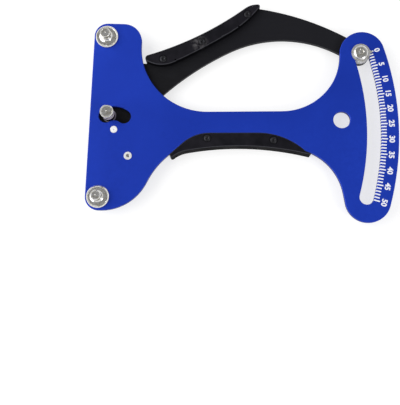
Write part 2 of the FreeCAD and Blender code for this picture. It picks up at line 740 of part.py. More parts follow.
FRAME_SCREWS = (
    (mm.frame_screw_1_x, mm.frame_screw_y),
    (frame_screw_2_x, mm.frame_screw_y),
)
LEVER_SCREWS = (
    (mm.lever_screw_1_x, mm.lever_screw_1_y),
    (mm.lever_screw_2_x, mm.lever_screw_2_y),
    (mm.lever_screw_3_x, mm.lever_screw_3_y),
)
POSTS = ((-mm.post_offset, mm.upper_post_rise), (-mm.post_offset, -mm.lower_post_drop))

screw_hole = mm.screw_radius + mm.screw_clearance
post_screw_hole = mm.post_screw_radius + mm.screw_clearance
pointer_hole = mm.pointer_screw_radius + mm.pointer_hole_gap


def draw_lug(sketch, x, y, radius):
    """A tab that hangs from the plate round a screw: round below, straight up into the plate."""
    corner = mm.lug_corner
    top = y + mm.lug_rise
    draw_outline(sketch, [
        outside(radius, x, y), LINE,
        outside(corner, x + radius - corner, top), LINE,
        outside(corner, x - radius + corner, top), LINE,
    ])


def make_plate():
    body = new_body("body_plate", level=plate_rear)
    outline = new_sketch(body, "outline")
    draw_outline(outline, plate_outline())
    pad(body, outline, mm.plate_thickness)
    openings = new_sketch(body, "openings")
    draw_slot(
        openings, mm.scale_radius, mm.arc_slot_half_width, scale_end_angle, mm.scale_zero_angle
    )
    draw_slot(
        openings, mm.kidney_radius, mm.kidney_half_width, mm.kidney_right_angle,
        mm.kidney_left_angle,
    )
    draw_circle(
        openings, outer_radius - mm.hanging_hole_x, mm.hanging_hole_y, mm.hanging_hole_radius
    )
    draw_circle(openings, ZERO, ZERO, mm.pin_radius)
    draw_circle(openings, mm.eyelet_x, mm.eyelet_y, mm.eyelet_bore + mm.eyelet_wall)
    cut(body, openings)
    break_edges(body, "Chamfer", mm.plate_chamfer, lies_at(mm.plate_thickness.value))
    lugs = new_sketch(body, "lugs")
    for x, y in FRAME_SCREWS:
        draw_lug(lugs, x, y, mm.lug_radius)
    pad(body, lugs, mm.lug_thickness)
    holes = new_sketch(body, "screw_holes")
    for x, y in FRAME_SCREWS:
        draw_circle(holes, x, y, screw_hole)
    for x, y in POSTS:
        draw_circle(holes, x, y, post_screw_hole)
    cut(body, holes)
    sink = mm.post_screw_head - mm.post_screw_radius
    break_edges(body, "Chamfer", sink, ring_at(ZERO, post_screw_hole))
    return body


def make_post(label, x, y):
    """A turned post: flange with a dished face, sweep up to the neck, flared head."""
    dish = mm.flange_height - mm.dish_depth
    rim = mm.flange_radius - mm.rim_width
    neck_start = mm.post_neck_height
    head_start = neck_start + mm.post_flare
    bore = post_screw_hole
    body = turned_part(label, (
        (ZERO, mm.post_screw_grip), (bore, mm.post_screw_grip), (bore, ZERO),
        (mm.flange_radius, ZERO),
        (mm.flange_radius, mm.flange_height - mm.edge_break),
        (mm.flange_radius - mm.edge_break, mm.flange_height),
        (rim, mm.flange_height), (rim - mm.edge_break, dish),
        (mm.post_neck_radius, dish), (mm.post_neck_radius, neck_start),
        (mm.post_head_radius, head_start),
        (mm.post_head_radius, mm.post_height - mm.edge_break),
        (mm.post_head_radius - mm.edge_break, mm.post_height),
        (ZERO, mm.post_height),
    ), x, y, plate_face)
    sweep = mm.dish_sweep - mm.post_neck_radius
    break_edges(body, "Fillet", sweep, ring_at(dish, mm.post_neck_radius))
    return body


def make_post_screws():
    """The two countersunk screws that hold the posts from behind the plate."""
    x, y = POSTS[1]
    tip = mm.plate_thickness + mm.post_screw_grip - mm.screw_tip_gap
    sink = mm.post_screw_head - mm.post_screw_radius
    body = turned_part("post_screws", (
        (ZERO, ZERO), (mm.post_screw_head, ZERO), (mm.post_screw_radius, sink),
        (mm.post_screw_radius, tip - mm.edge_break), (mm.post_screw_radius - mm.edge_break, tip),
        (ZERO, tip),
    ), x, y, plate_rear)
    turned = body.Tip
    socket = new_sketch(body, "socket")
    draw_hexagon(socket, ZERO, ZERO, mm.screw_socket)
    sunk = cut(body, socket, sink)
    pattern = body.newObject("PartDesign::LinearPattern", "post_screws_pair")
    pattern.Originals = [turned, sunk]
    upright = [item for item in body.Origin.OriginFeatures if item.Role == "Y_Axis"][0]
    pattern.Direction = (upright, [""])
    pattern.setExpression("Length", (mm.upper_post_rise + mm.lower_post_drop).text)
    pattern.Occurrences = 2
    body.Tip = pattern
    return body


def make_eyelet():
    outside_radius = mm.eyelet_bore + mm.eyelet_wall
    top = mm.plate_thickness + mm.eyelet_flange_height
    return turned_part("spring_eyelet", (
        (mm.eyelet_bore, -mm.eyelet_flare_height), (mm.eyelet_flare, -mm.eyelet_flare_height),
        (mm.eyelet_flare, ZERO), (outside_radius, ZERO),
        (outside_radius, mm.plate_thickness), (mm.eyelet_flange, mm.plate_thickness),
        (mm.eyelet_flange, top - mm.edge_break), (mm.eyelet_flange - mm.edge_break, top),
        (mm.eyelet_bore + mm.edge_break, top), (mm.eyelet_bore, top - mm.edge_break),
    ), mm.eyelet_x, mm.eyelet_y, plate_rear)


# ---------------------------------------------------------------- pivot

clip_top = mm.clip_level + mm.clip_thickness
groove_radius = mm.pin_radius - mm.clip_groove


def make_pin():
    groove_top = clip_top + mm.clip_play
    return turned_part("pivot_pin", (
        (ZERO, mm.pin_rear_level), (mm.pin_radius - mm.pin_chamfer, mm.pin_rear_level),
        (mm.pin_radius, mm.pin_rear_level + mm.pin_chamfer), (mm.pin_radius, mm.clip_level),
        (groove_radius, mm.clip_level), (groove_radius, groove_top),
        (mm.pin_radius, groove_top), (mm.pin_radius, plate_face - mm.pin_chamfer),
        (mm.pin_radius - mm.pin_chamfer, plate_face), (mm.pin_dimple, plate_face),
        (mm.pin_dimple_floor, plate_face - mm.pin_dimple), (ZERO, plate_face - mm.pin_dimple),
    ))


def make_clip():
    """A snap ring with a straight mouth, in the pin's groove behind the bush."""
    body = new_body("pivot_clip", level=mm.clip_level)
    ring = new_sketch(body, "ring")
    draw_circle(ring, ZERO, ZERO, mm.clip_radius)
    draw_circle(ring, ZERO, ZERO, groove_radius)
    pad(body, ring, mm.clip_thickness)
    mouth = new_sketch(body, "mouth")
    side = mm.clip_mouth / 2
    draw_polygon(mouth, (
        (-side, -mm.clip_radius * 2), (side, -mm.clip_radius * 2), (side, ZERO), (-side, ZERO),
    ))
    cut(body, mouth)
    return body


def make_ring(label, inner, outer, thickness, level, x=ZERO, y=ZERO):
    body = new_body(label, x, y, level)
    ring = new_sketch(body, "ring")
    draw_circle(ring, ZERO, ZERO, outer)
    draw_circle(ring, ZERO, ZERO, inner)
    pad(body, ring, thickness)
    return body


def make_bush():
    """The lever's bearing on the pin, with a collar behind the lever that carries the coil."""
    bore = mm.pin_radius + mm.running_gap
    return turned_part("lever_bush", (
        (bore, clip_top + mm.clip_play), (mm.arbor_radius, clip_top + mm.clip_play),
        (mm.arbor_radius, mm.lever_level), (mm.bush_radius, mm.lever_level),
        (mm.bush_radius, lever_face), (bore, lever_face),
    ))


# ---------------------------------------------------------------- lever

def grip_seat_edge(gap):
    """The hidden edge of the lever under the grip's back, or its bed with a gap."""
    return hollow(mm.grip_back_radius + mm.grip_cover - gap, mm.grip_back_x, mm.grip_back_y)


def lever_end():
    return outside(mm.lever_end_radius, pointer_x, pointer_y)


def lever_back(gap=ZERO):
    """The lever's upper edge from the grip's tip to its end, or that edge with a gap."""
    centre_y = mm.back_top - mm.back_radius
    edge = touching(COUNTER_CLOCKWISE, mm.back_radius, lever_end(), y=centre_y, side=-1)
    edge.radius = mm.back_radius + gap
    return edge


def lever_apex(gap=ZERO):
    tip = (mm.grip_tip_x.value, mm.lever_screw_3_y.value)
    return blend(
        COUNTER_CLOCKWISE, mm.apex_radius + gap, lever_back(gap), grip_seat_edge(gap), near=tip
    )


def step_top(gap=ZERO):
    """The upper corner of the step that stops the grip's tail."""
    return touching(
        COUNTER_CLOCKWISE, mm.step_radius, grip_seat_edge(gap),
        x=mm.step_x - gap + mm.step_radius, side=-1,
    )


def lever_top():
    """The lever's upper edge beside the step that stops the grip."""
    run = mm.step_x - mm.grip_back_x
    reach = mm.grip_back_radius + mm.grip_cover
    return mm.grip_back_y - root(reach * reach - run * run) - mm.step_drop


def lever_outline():
    head = outside(mm.head_radius, mm.head_x, mm.head_y)
    end = lever_end()
    bow = touching(CLOCKWISE, mm.bow_radius, end, x=pointer_x - mm.bow_x, side=-1)
    arm = touching(CLOCKWISE, mm.arm_lower_radius, bow, x=mm.arm_lower_x, side=-1)
    armpit = blend(
        CLOCKWISE, mm.armpit_radius, head, arm,
        near=(mm.head_x.value + mm.head_radius.value, mm.head_y.value + mm.armpit_radius.value),
    )
    step_foot = hollow(
        mm.step_radius, mm.step_x - mm.step_radius, lever_top() + mm.step_radius
    )
    corner = outside(
        mm.lever_corner_radius, mm.lever_corner_x, lever_top() - mm.lever_corner_radius
    )
    return [
        head, armpit, arm, bow, end, lever_back(), lever_apex(), grip_seat_edge(ZERO),
        step_top(), LINE, step_foot, LINE, corner, LINE,
    ]


moving_post_x = mm.moving_post_radius * cosine(mm.moving_post_angle)
moving_post_y = mm.moving_post_radius * sine(mm.moving_post_angle)
spring_hole_x = mm.spring_hole_radius * cosine(mm.spring_hole_angle)
spring_hole_y = mm.spring_hole_radius * sine(mm.spring_hole_angle)


def make_lever():
    body = new_body("lever", level=mm.lever_level)
    outline = new_sketch(body, "outline")
    draw_outline(outline, lever_outline())
    pad(body, outline, mm.lever_thickness)
    holes = new_sketch(body, "holes")
    draw_circle(holes, ZERO, ZERO, mm.bush_radius)
    draw_circle(holes, pointer_x, pointer_y, pointer_hole)
    draw_circle(holes, spring_hole_x, spring_hole_y, mm.wire_radius + mm.spring_hole_gap)
    draw_circle(holes, moving_post_x, moving_post_y, post_screw_hole)
    for x, y in LEVER_SCREWS:
        draw_circle(holes, x, y, screw_hole)
    cut(body, holes)
    sink = mm.post_screw_head - mm.post_screw_radius
    break_edges(body, "Chamfer", sink, ring_at(ZERO, post_screw_hole))
    return body


# ---------------------------------------------------------------- moving post

def make_moving_post():
    """The post on the lever: collar behind the plate, barrel through it, groove and cap."""
    collar = mm.plate_gap - mm.collar_play
    barrel = mm.plate_gap + mm.plate_thickness + mm.barrel_height
    top = mm.plate_gap + mm.plate_thickness + mm.post_height
    cap = top - mm.cap_thickness
    flare = mm.cap_radius - mm.moving_neck_radius
    rim = mm.cap_radius - mm.rim_width
    grip = mm.moving_screw_grip
    return turned_part("moving_post", (
        (ZERO, grip), (post_screw_hole, grip), (post_screw_hole, ZERO),
        (mm.collar_radius, ZERO), (mm.collar_radius, collar), (mm.barrel_radius, collar),
        (mm.barrel_radius, barrel - mm.edge_break), (mm.barrel_radius - mm.edge_break, barrel),
        (mm.moving_neck_radius, barrel + mm.edge_break),
        (mm.moving_neck_radius, cap - flare),
        (mm.cap_radius, cap), (mm.cap_radius, top - mm.edge_break),
        (mm.cap_radius - mm.edge_break, top), (rim, top), (rim, top - mm.cap_recess),
        (ZERO, top - mm.cap_recess),
    ), moving_post_x, moving_post_y, lever_face)


def make_moving_post_screw():
    tip = mm.lever_thickness + mm.moving_screw_grip - mm.screw_tip_gap
    sink = mm.post_screw_head - mm.post_screw_radius
    body = turned_part("moving_post_screw", (
        (ZERO, ZERO), (mm.post_screw_head, ZERO), (mm.post_screw_radius, sink),
        (mm.post_screw_radius, tip - mm.edge_break), (mm.post_screw_radius - mm.edge_break, tip),
        (ZERO, tip),
    ), moving_post_x, moving_post_y, mm.lever_level)
    socket = new_sketch(body, "socket")
    draw_hexagon(socket, ZERO, ZERO, mm.screw_socket)
    cut(body, socket, sink)
    return body


# ---------------------------------------------------------------- pointer

rear_washer_thickness = mm.plate_gap - mm.pointer_play
pointer_seat = plate_face + mm.pointer_play
pointer_stack = pointer_seat + mm.pointer_washer_thickness
nut_level = mm.lever_level - mm.nut_height


def make_pointer_bush():
    bush_level = lever_face + rear_washer_thickness
    return make_ring(
        "pointer_bush", pointer_hole, mm.arc_slot_half_width - mm.slot_play,
        pointer_seat - bush_level, bush_level, pointer_x, pointer_y,
    )


def make_rear_pointer_washer():
    return make_ring(
        "rear_pointer_washer", pointer_hole, mm.pointer_washer_radius, rear_washer_thickness,
        lever_face, pointer_x, pointer_y,
    )


def make_pointer_washer():
    """The washer in front of the plate, with a nib that points at the scale."""
    body = make_ring(
        "pointer_washer", pointer_hole, mm.pointer_washer_radius, mm.pointer_washer_thickness,
        pointer_seat, pointer_x, pointer_y,
    )
    nib = new_sketch(body, "nib")
    direction = mm.scale_zero_angle - mm.nib_turn
    along = (cosine(direction), sine(direction))

    def at(reach, aside):
        return (reach * along[0] - aside * along[1], reach * along[1] + aside * along[0])

    draw_polygon(nib, (
        at(mm.nib_root, -mm.nib_half_width), at(mm.nib_reach, -mm.nib_point),
        at(mm.nib_reach, mm.nib_point), at(mm.nib_root, mm.nib_half_width),
    ))
    pad(body, nib, mm.pointer_washer_thickness)
    return body


def make_pointer_screw():
    """Dome head, shank through the bush and the lever, thread end behind the nut."""
    end = nut_level - mm.nut_thread_end
    edge = pointer_stack + mm.pointer_head_edge
    top = pointer_stack + mm.pointer_head_height
    body = turned_part("pointer_screw", (
        (ZERO, end), (mm.pointer_screw_radius - mm.edge_break, end),
        (mm.pointer_screw_radius, end + mm.edge_break),
        (mm.pointer_screw_radius, pointer_stack), (mm.pointer_head_radius, pointer_stack),
        (mm.pointer_head_radius, edge),
        (mm.dome_shoulder_radius, edge + mm.dome_shoulder_rise),
        (mm.dome_top_radius, top), (ZERO, top),
    ), pointer_x, pointer_y)
    socket = new_sketch(body, "socket", level=top)
    draw_hexagon(socket, ZERO, ZERO, mm.pointer_socket)
    cut(body, socket, mm.pointer_socket_depth, upward=False)
    return body


def make_pointer_nut():
    body = new_body("pointer_nut", pointer_x, pointer_y, nut_level)
    outline = new_sketch(body, "outline")
    draw_hexagon(outline, ZERO, ZERO, mm.nut_half_width)
    draw_circle(outline, ZERO, ZERO, mm.pointer_screw_radius)
    pad(body, outline, mm.nut_height)
    return body


# ---------------------------------------------------------------- grips

grip_parting = mm.lever_level + mm.lever_thickness / 2
lever_grip_face = plate_face + mm.lever_grip_rise
frame_grip_face = plate_face - mm.frame_grip_drop


def lever_grip_outline():
    heel = outside(mm.grip_heel_radius, mm.grip_heel_x, mm.grip_heel_y)
    front = outside(mm.grip_front_radius, mm.grip_front_x, mm.grip_front_y)
    upper_left = (-mm.grip_palm_radius.value, mm.grip_palm_radius.value)
    palm = blend(COUNTER_CLOCKWISE, mm.grip_palm_radius, heel, front, near=upper_left)
    tip = touching(
        COUNTER_CLOCKWISE, mm.grip_tip_radius, front, x=mm.grip_tip_x, side=-1
    )
    back = hollow(mm.grip_back_radius, mm.grip_back_x, mm.grip_back_y)
    nose = blend(COUNTER_CLOCKWISE, mm.grip_nose_radius, tip, back, near=(tip.centre[0], 0.0))
    tail = blend(
        COUNTER_CLOCKWISE, mm.grip_tail_radius, back, heel,
        near=(heel.centre[0] - mm.grip_heel_radius.value, mm.step_x.value * 2),
    )
    return [heel, palm, front, tip, nose, back, tail]


def lever_bed_outline():
    """The lever as the grip halves enclose it, open towards the fingers."""
    gap = mm.bed_gap
    floor = mm.lever_screw_1_y - mm.grip_heel_radius
    corner = mm.step_radius
    right = mm.grip_tip_x + mm.grip_nose_radius
    left = mm.lever_corner_x + corner
    upper_right = touching(
        COUNTER_CLOCKWISE, corner, lever_back(gap), x=right - corner, side=1
    )
    return [
        outside(corner, right - corner, floor + corner), LINE, upper_right,
        lever_back_again(gap), lever_apex(gap), grip_seat_edge(gap), step_top(gap), LINE,
        hollow(corner - gap, mm.step_x - corner, lever_top() + corner), LINE,
        outside(corner, left, lever_top() + gap - corner), LINE,
        outside(corner, left, floor + corner), LINE,
    ]


def lever_back_again(gap):
    """The lever's upper edge with a gap, held by its centre where its end isn't drawn."""
    edge = lever_back(gap)
    rise = pointer_y - edge.y
    reach = mm.back_radius - mm.lever_end_radius
    edge.x = pointer_x - root(reach * reach - rise * rise)
    return edge


def screw_seats(body, screws, face, depth_below):
    """Holes through a front half, the seats of the heads and a ring recess round them."""
    holes = new_sketch(body, "screw_holes")
    for x, y in screws:
        draw_circle(holes, x, y, screw_hole)
    cut(body, holes)
    rings = new_sketch(body, "ring_recesses", level=face)
    for x, y in screws:
        draw_circle(rings, x, y, mm.spot_radius)
    cut(body, rings, mm.spot_depth, upward=False)
    seats = new_sketch(body, "head_seats", level=face)
    for x, y in screws:
        draw_circle(seats, x, y, mm.screw_head_radius + mm.screw_clearance)
    cut(body, seats, depth_below, upward=False)


def make_lever_grip_front():
    body = new_body("lever_grip_front", level=grip_parting)
    outline = new_sketch(body, "outline")
    draw_outline(outline, lever_grip_outline())
    thickness = lever_grip_face - grip_parting
    pad(body, outline, thickness)
    bed = new_sketch(body, "lever_bed")
    draw_outline(bed, lever_bed_outline())
    cut(body, bed, lever_face - grip_parting)
    break_edges(body, "Fillet", mm.grip_edge, lies_at(thickness.value))
    screw_seats(body, LEVER_SCREWS, thickness, mm.screw_seat)
    pin_holes = new_sketch(body, "pin_holes", level=thickness)
    draw_circle(pin_holes, mm.pin_hole_1_x, mm.pin_hole_1_y, mm.pin_hole_radius)
    draw_circle(pin_holes, mm.pin_hole_2_x, mm.pin_hole_2_y, mm.pin_hole_radius)
    cut(body, pin_holes, mm.pin_hole_depth, upward=False)
    return body


def make_lever_grip_rear():
    body = new_body("lever_grip_rear")
    outline = new_sketch(body, "outline")
    draw_outline(outline, lever_grip_outline())
    pad(body, outline, grip_parting)
    bed = new_sketch(body, "lever_bed", level=mm.lever_level)
    draw_outline(bed, lever_bed_outline())
    cut(body, bed, grip_parting - mm.lever_level)
    break_edges(body, "Chamfer", mm.grip_edge, lies_at(0.0))
    holes = new_sketch(body, "screw_holes", level=mm.screw_end_level)
    for x, y in LEVER_SCREWS:
        draw_circle(holes, x, y, screw_hole)
    cut(body, holes, grip_parting - mm.screw_end_level)
    return body


def lower_ear_hollow_x():
    """Centre of the hollow beside the lower ear, from the straight that joins them."""
    reach = outer_radius - mm.lower_ear_radius
    ear_x = root(reach * reach - lower_ear_y * lower_ear_y)
    across = sine(mm.lower_ear_slope)
    along = cosine(mm.lower_ear_slope)
    drop = (lower_ear_y - mm.lower_ear_hollow_y) * along
    return ear_x + (drop - mm.lower_ear_radius - mm.lower_ear_hollow_radius) / across


def palm_edge():
    """The hollow lower edge of the frame grip, by its two ends."""
    run = seat_end_x - mm.palm_left_x
    rise = mm.seat_end_y - mm.palm_right_depth - mm.palm_left_y
    chord = root(run * run + rise * rise)
    fall = root(mm.palm_radius * mm.palm_radius - chord * chord / 4) / chord
    return hollow(
        mm.palm_radius, mm.palm_left_x + run / 2 + fall * rise,
        mm.palm_left_y + rise / 2 - fall * run,
    )


def frame_grip_outline():
    """The plate's edge with a gap above, the palm below."""
    gap = mm.seat_gap
    palm = palm_edge()
    right = outside(mm.seat_right_radius - gap, seat_right_x, seat_right_y)
    left = outside(mm.seat_left_radius - gap, mm.seat_left_x, seat_left_y)
    beyond = outside(
        mm.lower_ear_hollow_radius - gap, lower_ear_hollow_x(), mm.lower_ear_hollow_y
    )
    right_edge = (right.centre[0] + mm.seat_right_radius.value, 0.0)
    right_tip = blend(COUNTER_CLOCKWISE, mm.frame_grip_tip, palm, beyond, near=right_edge)
    notch = blend(CLOCKWISE, mm.seat_tip_radius + gap, beyond, right, near=right_edge)
    slope = Straight(mm.belly_slope - HALF_TURN)
    toe = after_straight(COUNTER_CLOCKWISE, mm.toe_radius, left, slope.heading, mm.toe_x)
    below_toe = (mm.seat_left_x.value, mm.belly_y.value)
    sweep = blend(CLOCKWISE, mm.toe_sweep, toe, palm, near=below_toe)
    return [palm, right_tip, beyond, notch, right, LINE, left, slope, toe, sweep]


def make_frame_grip_front():
    body = new_body("frame_grip_front", level=plate_rear)
    outline = new_sketch(body, "outline")
    draw_outline(outline, frame_grip_outline())
    thickness = frame_grip_face - plate_rear
    pad(body, outline, thickness)
    pockets = new_sketch(body, "lug_pockets")
    for x, y in FRAME_SCREWS:
        draw_lug(pockets, x, y, mm.lug_radius + mm.seat_gap)
    cut(body, pockets, mm.lug_thickness + mm.seat_gap)
    break_edges(body, "Chamfer", mm.frame_grip_edge, lies_at(thickness.value))
    screw_seats(body, FRAME_SCREWS, thickness, mm.frame_screw_seat)
    return body


def make_frame_grip_rear():
    body = new_body("frame_grip_rear")
    outline = new_sketch(body, "outline")
    draw_outline(outline, frame_grip_outline())
    pad(body, outline, plate_rear)
    break_edges(body, "Chamfer", mm.frame_grip_edge, lies_at(0.0))
    holes = new_sketch(body, "screw_holes", level=mm.screw_end_level)
    for x, y in FRAME_SCREWS:
        draw_circle(holes, x, y, screw_hole)
    cut(body, holes, plate_rear - mm.screw_end_level)
    return body


def make_grip_screws(label, screws, seat):
    """Button head screws: shanks down into the rear half, heads seated in the front half."""
    body = new_body(label, level=mm.screw_end_level)
    shanks = new_sketch(body, "shanks")
    for x, y in screws:
        draw_circle(shanks, x, y, mm.screw_radius)
    length = seat - mm.screw_end_level
    pad(body, shanks, length)
    heads = new_sketch(body, "heads", level=length)
    for x, y in screws:
        draw_circle(heads, x, y, mm.screw_head_radius)
    pad(body, heads, mm.screw_head_height)
    top = length + mm.screw_head_height
    break_edges(body, "Chamfer", mm.screw_head_edge, ring_at(top, mm.screw_head_radius))
    sockets = new_sketch(body, "sockets", level=top)
    for x, y in screws:
        draw_hexagon(sockets, x, y, mm.screw_socket)
    cut(body, sockets, mm.screw_socket_depth, upward=False)
    return body


# ---------------------------------------------------------------- return spring

WIRE_SIDES = 8  # flats that stand for the round wire, to keep the model light
ARCS_PER_TURN = 3


def tangent_angle(x, y, turn):
    """Where the straight from x, y runs onto the coil, for a coil that goes on in that turn."""
    reach = math.hypot(x, y)
    return math.atan2(y, x) + turn * math.acos(mm.coil_radius.value / reach)


def make_spring():
    """A torsion spring: one leg hooks into the eyelet, the other into the lever."""
    wire = mm.wire_radius.value
    radius = mm.coil_radius.value
    upper = mm.lever_level.value - mm.coil_play.value - wire
    fixed = (mm.eyelet_x.value, mm.eyelet_y.value)
    moving = (spring_hole_x.value, spring_hole_y.value)
    first = tangent_angle(*fixed, CLOCKWISE) % (2 * math.pi)
    last = tangent_angle(*moving, COUNTER_CLOCKWISE) % (2 * math.pi)
    sweep = (first - last) % (2 * math.pi) + mm.whole_turns.value * 2 * math.pi
    rise = mm.coil_pitch.value * sweep / (2 * math.pi)
    lower = upper - rise

    def on_coil(turned):
        angle = first - turned
        level = lower + rise * turned / sweep
        return FreeCAD.Vector(radius * math.cos(angle), radius * math.sin(angle), level)

    count = math.ceil(ARCS_PER_TURN * sweep / (2 * math.pi))
    step = sweep / count
    coil = [
        Part.Arc(on_coil(number * step), on_coil((number + 0.5) * step),
                 on_coil((number + 1) * step)).toShape()
        for number in range(count)
    ]
    fixed_leg = hook(on_coil(0), fixed, plate_face.value - mm.spring_end.value)
    moving_leg = hook(on_coil(sweep), moving, lever_face.value - mm.spring_end.value)
    path = Part.Wire(fixed_leg[::-1] + coil + moving_leg)
    start = path.OrderedVertexes[0].Point
    corners = [
        start + FreeCAD.Vector(wire * math.cos(turn), wire * math.sin(turn), 0)
        for turn in (2 * math.pi * side / WIRE_SIDES for side in range(WIRE_SIDES + 1))
    ]
    solid = path.makePipe(Part.Face(Part.makePolygon(corners)))
    spring = doc.addObject("Part::Feature", "return_spring")
    spring.Label = "return_spring"
    spring.Shape = solid
    spring.setExpression("Placement.Base.x", mm.pivot_x.text)
    spring.setExpression("Placement.Base.y", mm.pivot_y.text)
    return spring


def hook(start, end, top):
    """A leg from the coil: level and straight, then a bend up into the hole at end."""
    corner = FreeCAD.Vector(end[0], end[1], start.z)
    heading = (corner - start).normalize()
    upward = FreeCAD.Vector(0, 0, 1)
    bend = mm.leg_bend.value
    centre = corner - heading * bend + upward * bend
    middle = centre + (heading - upward).normalize() * bend
    return [
        Part.makeLine(start, corner - heading * bend),
        Part.Arc(corner - heading * bend, middle, corner + upward * bend).toShape(),
        Part.makeLine(corner + upward * bend, FreeCAD.Vector(end[0], end[1], top)),
    ]


# ---------------------------------------------------------------- the tool

parts = [
    make_plate(),
    make_post("upper_post", *POSTS[0]),
    make_post("lower_post", *POSTS[1]),
    make_post_screws(),
    make_eyelet(),
    make_pin(),
    make_clip(),
    make_ring(
        "pivot_washer", mm.pin_radius + mm.washer_bore_gap, mm.washer_radius,
        mm.plate_gap - mm.washer_play, lever_face + mm.washer_play,
    ),
    make_bush(),
    make_lever(),
    make_moving_post(),
    make_moving_post_screw(),
    make_pointer_bush(),
    make_rear_pointer_washer(),
    make_pointer_washer(),
    make_pointer_screw(),
    make_pointer_nut(),
    make_lever_grip_front(),
    make_lever_grip_rear(),
    make_frame_grip_front(),
    make_frame_grip_rear(),
    make_grip_screws("lever_grip_screws", LEVER_SCREWS, lever_grip_face - mm.screw_seat),
    make_grip_screws("frame_grip_screws", FRAME_SCREWS, frame_grip_face - mm.frame_screw_seat),
    make_spring(),
]
doc.recompute()

for item in doc.Objects:
    if "Invalid" in item.State or "Error" in item.State:
        raise RuntimeError(f"{item.Label} did not build: {item.State}")

os.makedirs("parts", exist_ok=True)
for part in parts:
    if part.Shape.isNull() or not part.Shape.isValid():
        raise RuntimeError(f"{part.Label} has no valid shape")
    part.Shape.exportStep(f"parts/{part.Label}.step")
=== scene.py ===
"""Looks of the spoke tension meter: materials, posts, screws, spring, scale, floor, light, camera.

Sizes and places are in millimetres, places from the lever's pivot and levels above the surface
that the tool lies on, as in the model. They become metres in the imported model's frame in at().
"""

import json
import math

import bpy
from mathutils import Euler, Matrix, Vector


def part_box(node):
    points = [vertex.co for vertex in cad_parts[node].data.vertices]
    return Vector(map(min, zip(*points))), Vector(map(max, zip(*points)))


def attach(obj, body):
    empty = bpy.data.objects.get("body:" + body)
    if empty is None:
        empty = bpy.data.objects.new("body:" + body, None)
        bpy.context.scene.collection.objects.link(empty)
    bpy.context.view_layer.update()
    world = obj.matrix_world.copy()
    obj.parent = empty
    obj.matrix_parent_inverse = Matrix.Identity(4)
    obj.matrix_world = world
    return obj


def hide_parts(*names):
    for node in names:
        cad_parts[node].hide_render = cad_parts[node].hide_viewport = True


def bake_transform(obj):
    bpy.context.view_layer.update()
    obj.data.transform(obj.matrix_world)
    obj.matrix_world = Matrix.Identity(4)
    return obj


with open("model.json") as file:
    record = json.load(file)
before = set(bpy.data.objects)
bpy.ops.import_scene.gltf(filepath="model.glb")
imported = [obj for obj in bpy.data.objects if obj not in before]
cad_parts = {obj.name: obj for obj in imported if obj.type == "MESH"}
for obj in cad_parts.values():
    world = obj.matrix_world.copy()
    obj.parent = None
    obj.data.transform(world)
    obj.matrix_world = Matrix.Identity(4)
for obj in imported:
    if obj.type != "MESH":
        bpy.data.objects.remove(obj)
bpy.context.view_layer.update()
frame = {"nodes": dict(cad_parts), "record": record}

MM = 0.001
nodes = frame["nodes"]
squeeze = frame["record"]["behaviour"]["joints"][0]
pivot = Vector(squeeze["pos_m"])


# ---------------------------------------------------------------- places taken from the frame

def at(x, y, level):
    """A place in millimetres from the pivot, in metres in the frame."""
    return Vector((pivot.x + x * MM, pivot.y + y * MM, level * MM))


def centre_of(node):
    """The middle of a node's box, in millimetres from the pivot."""
    low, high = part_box(node)
    middle = ((low + high) / 2 - pivot) / MM
    return middle.x, middle.y


def levels_of(node):
    """The lowest and highest level of a node, in millimetres."""
    low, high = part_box(node)
    return low.z / MM, high.z / MM


plate_rear, plate_face = levels_of("body_plate")
lever_rear, lever_face = levels_of("lever")
pointer = centre_of("pointer_screw")
scale_radius = math.hypot(*pointer)
zero_angle = math.atan2(pointer[1], pointer[0])


def add_object(name, data):
    """A new object in the scene that shows the data."""
    made = bpy.data.objects.new(name, data)
    bpy.context.scene.collection.objects.link(made)
    return made


# ---------------------------------------------------------------- materials

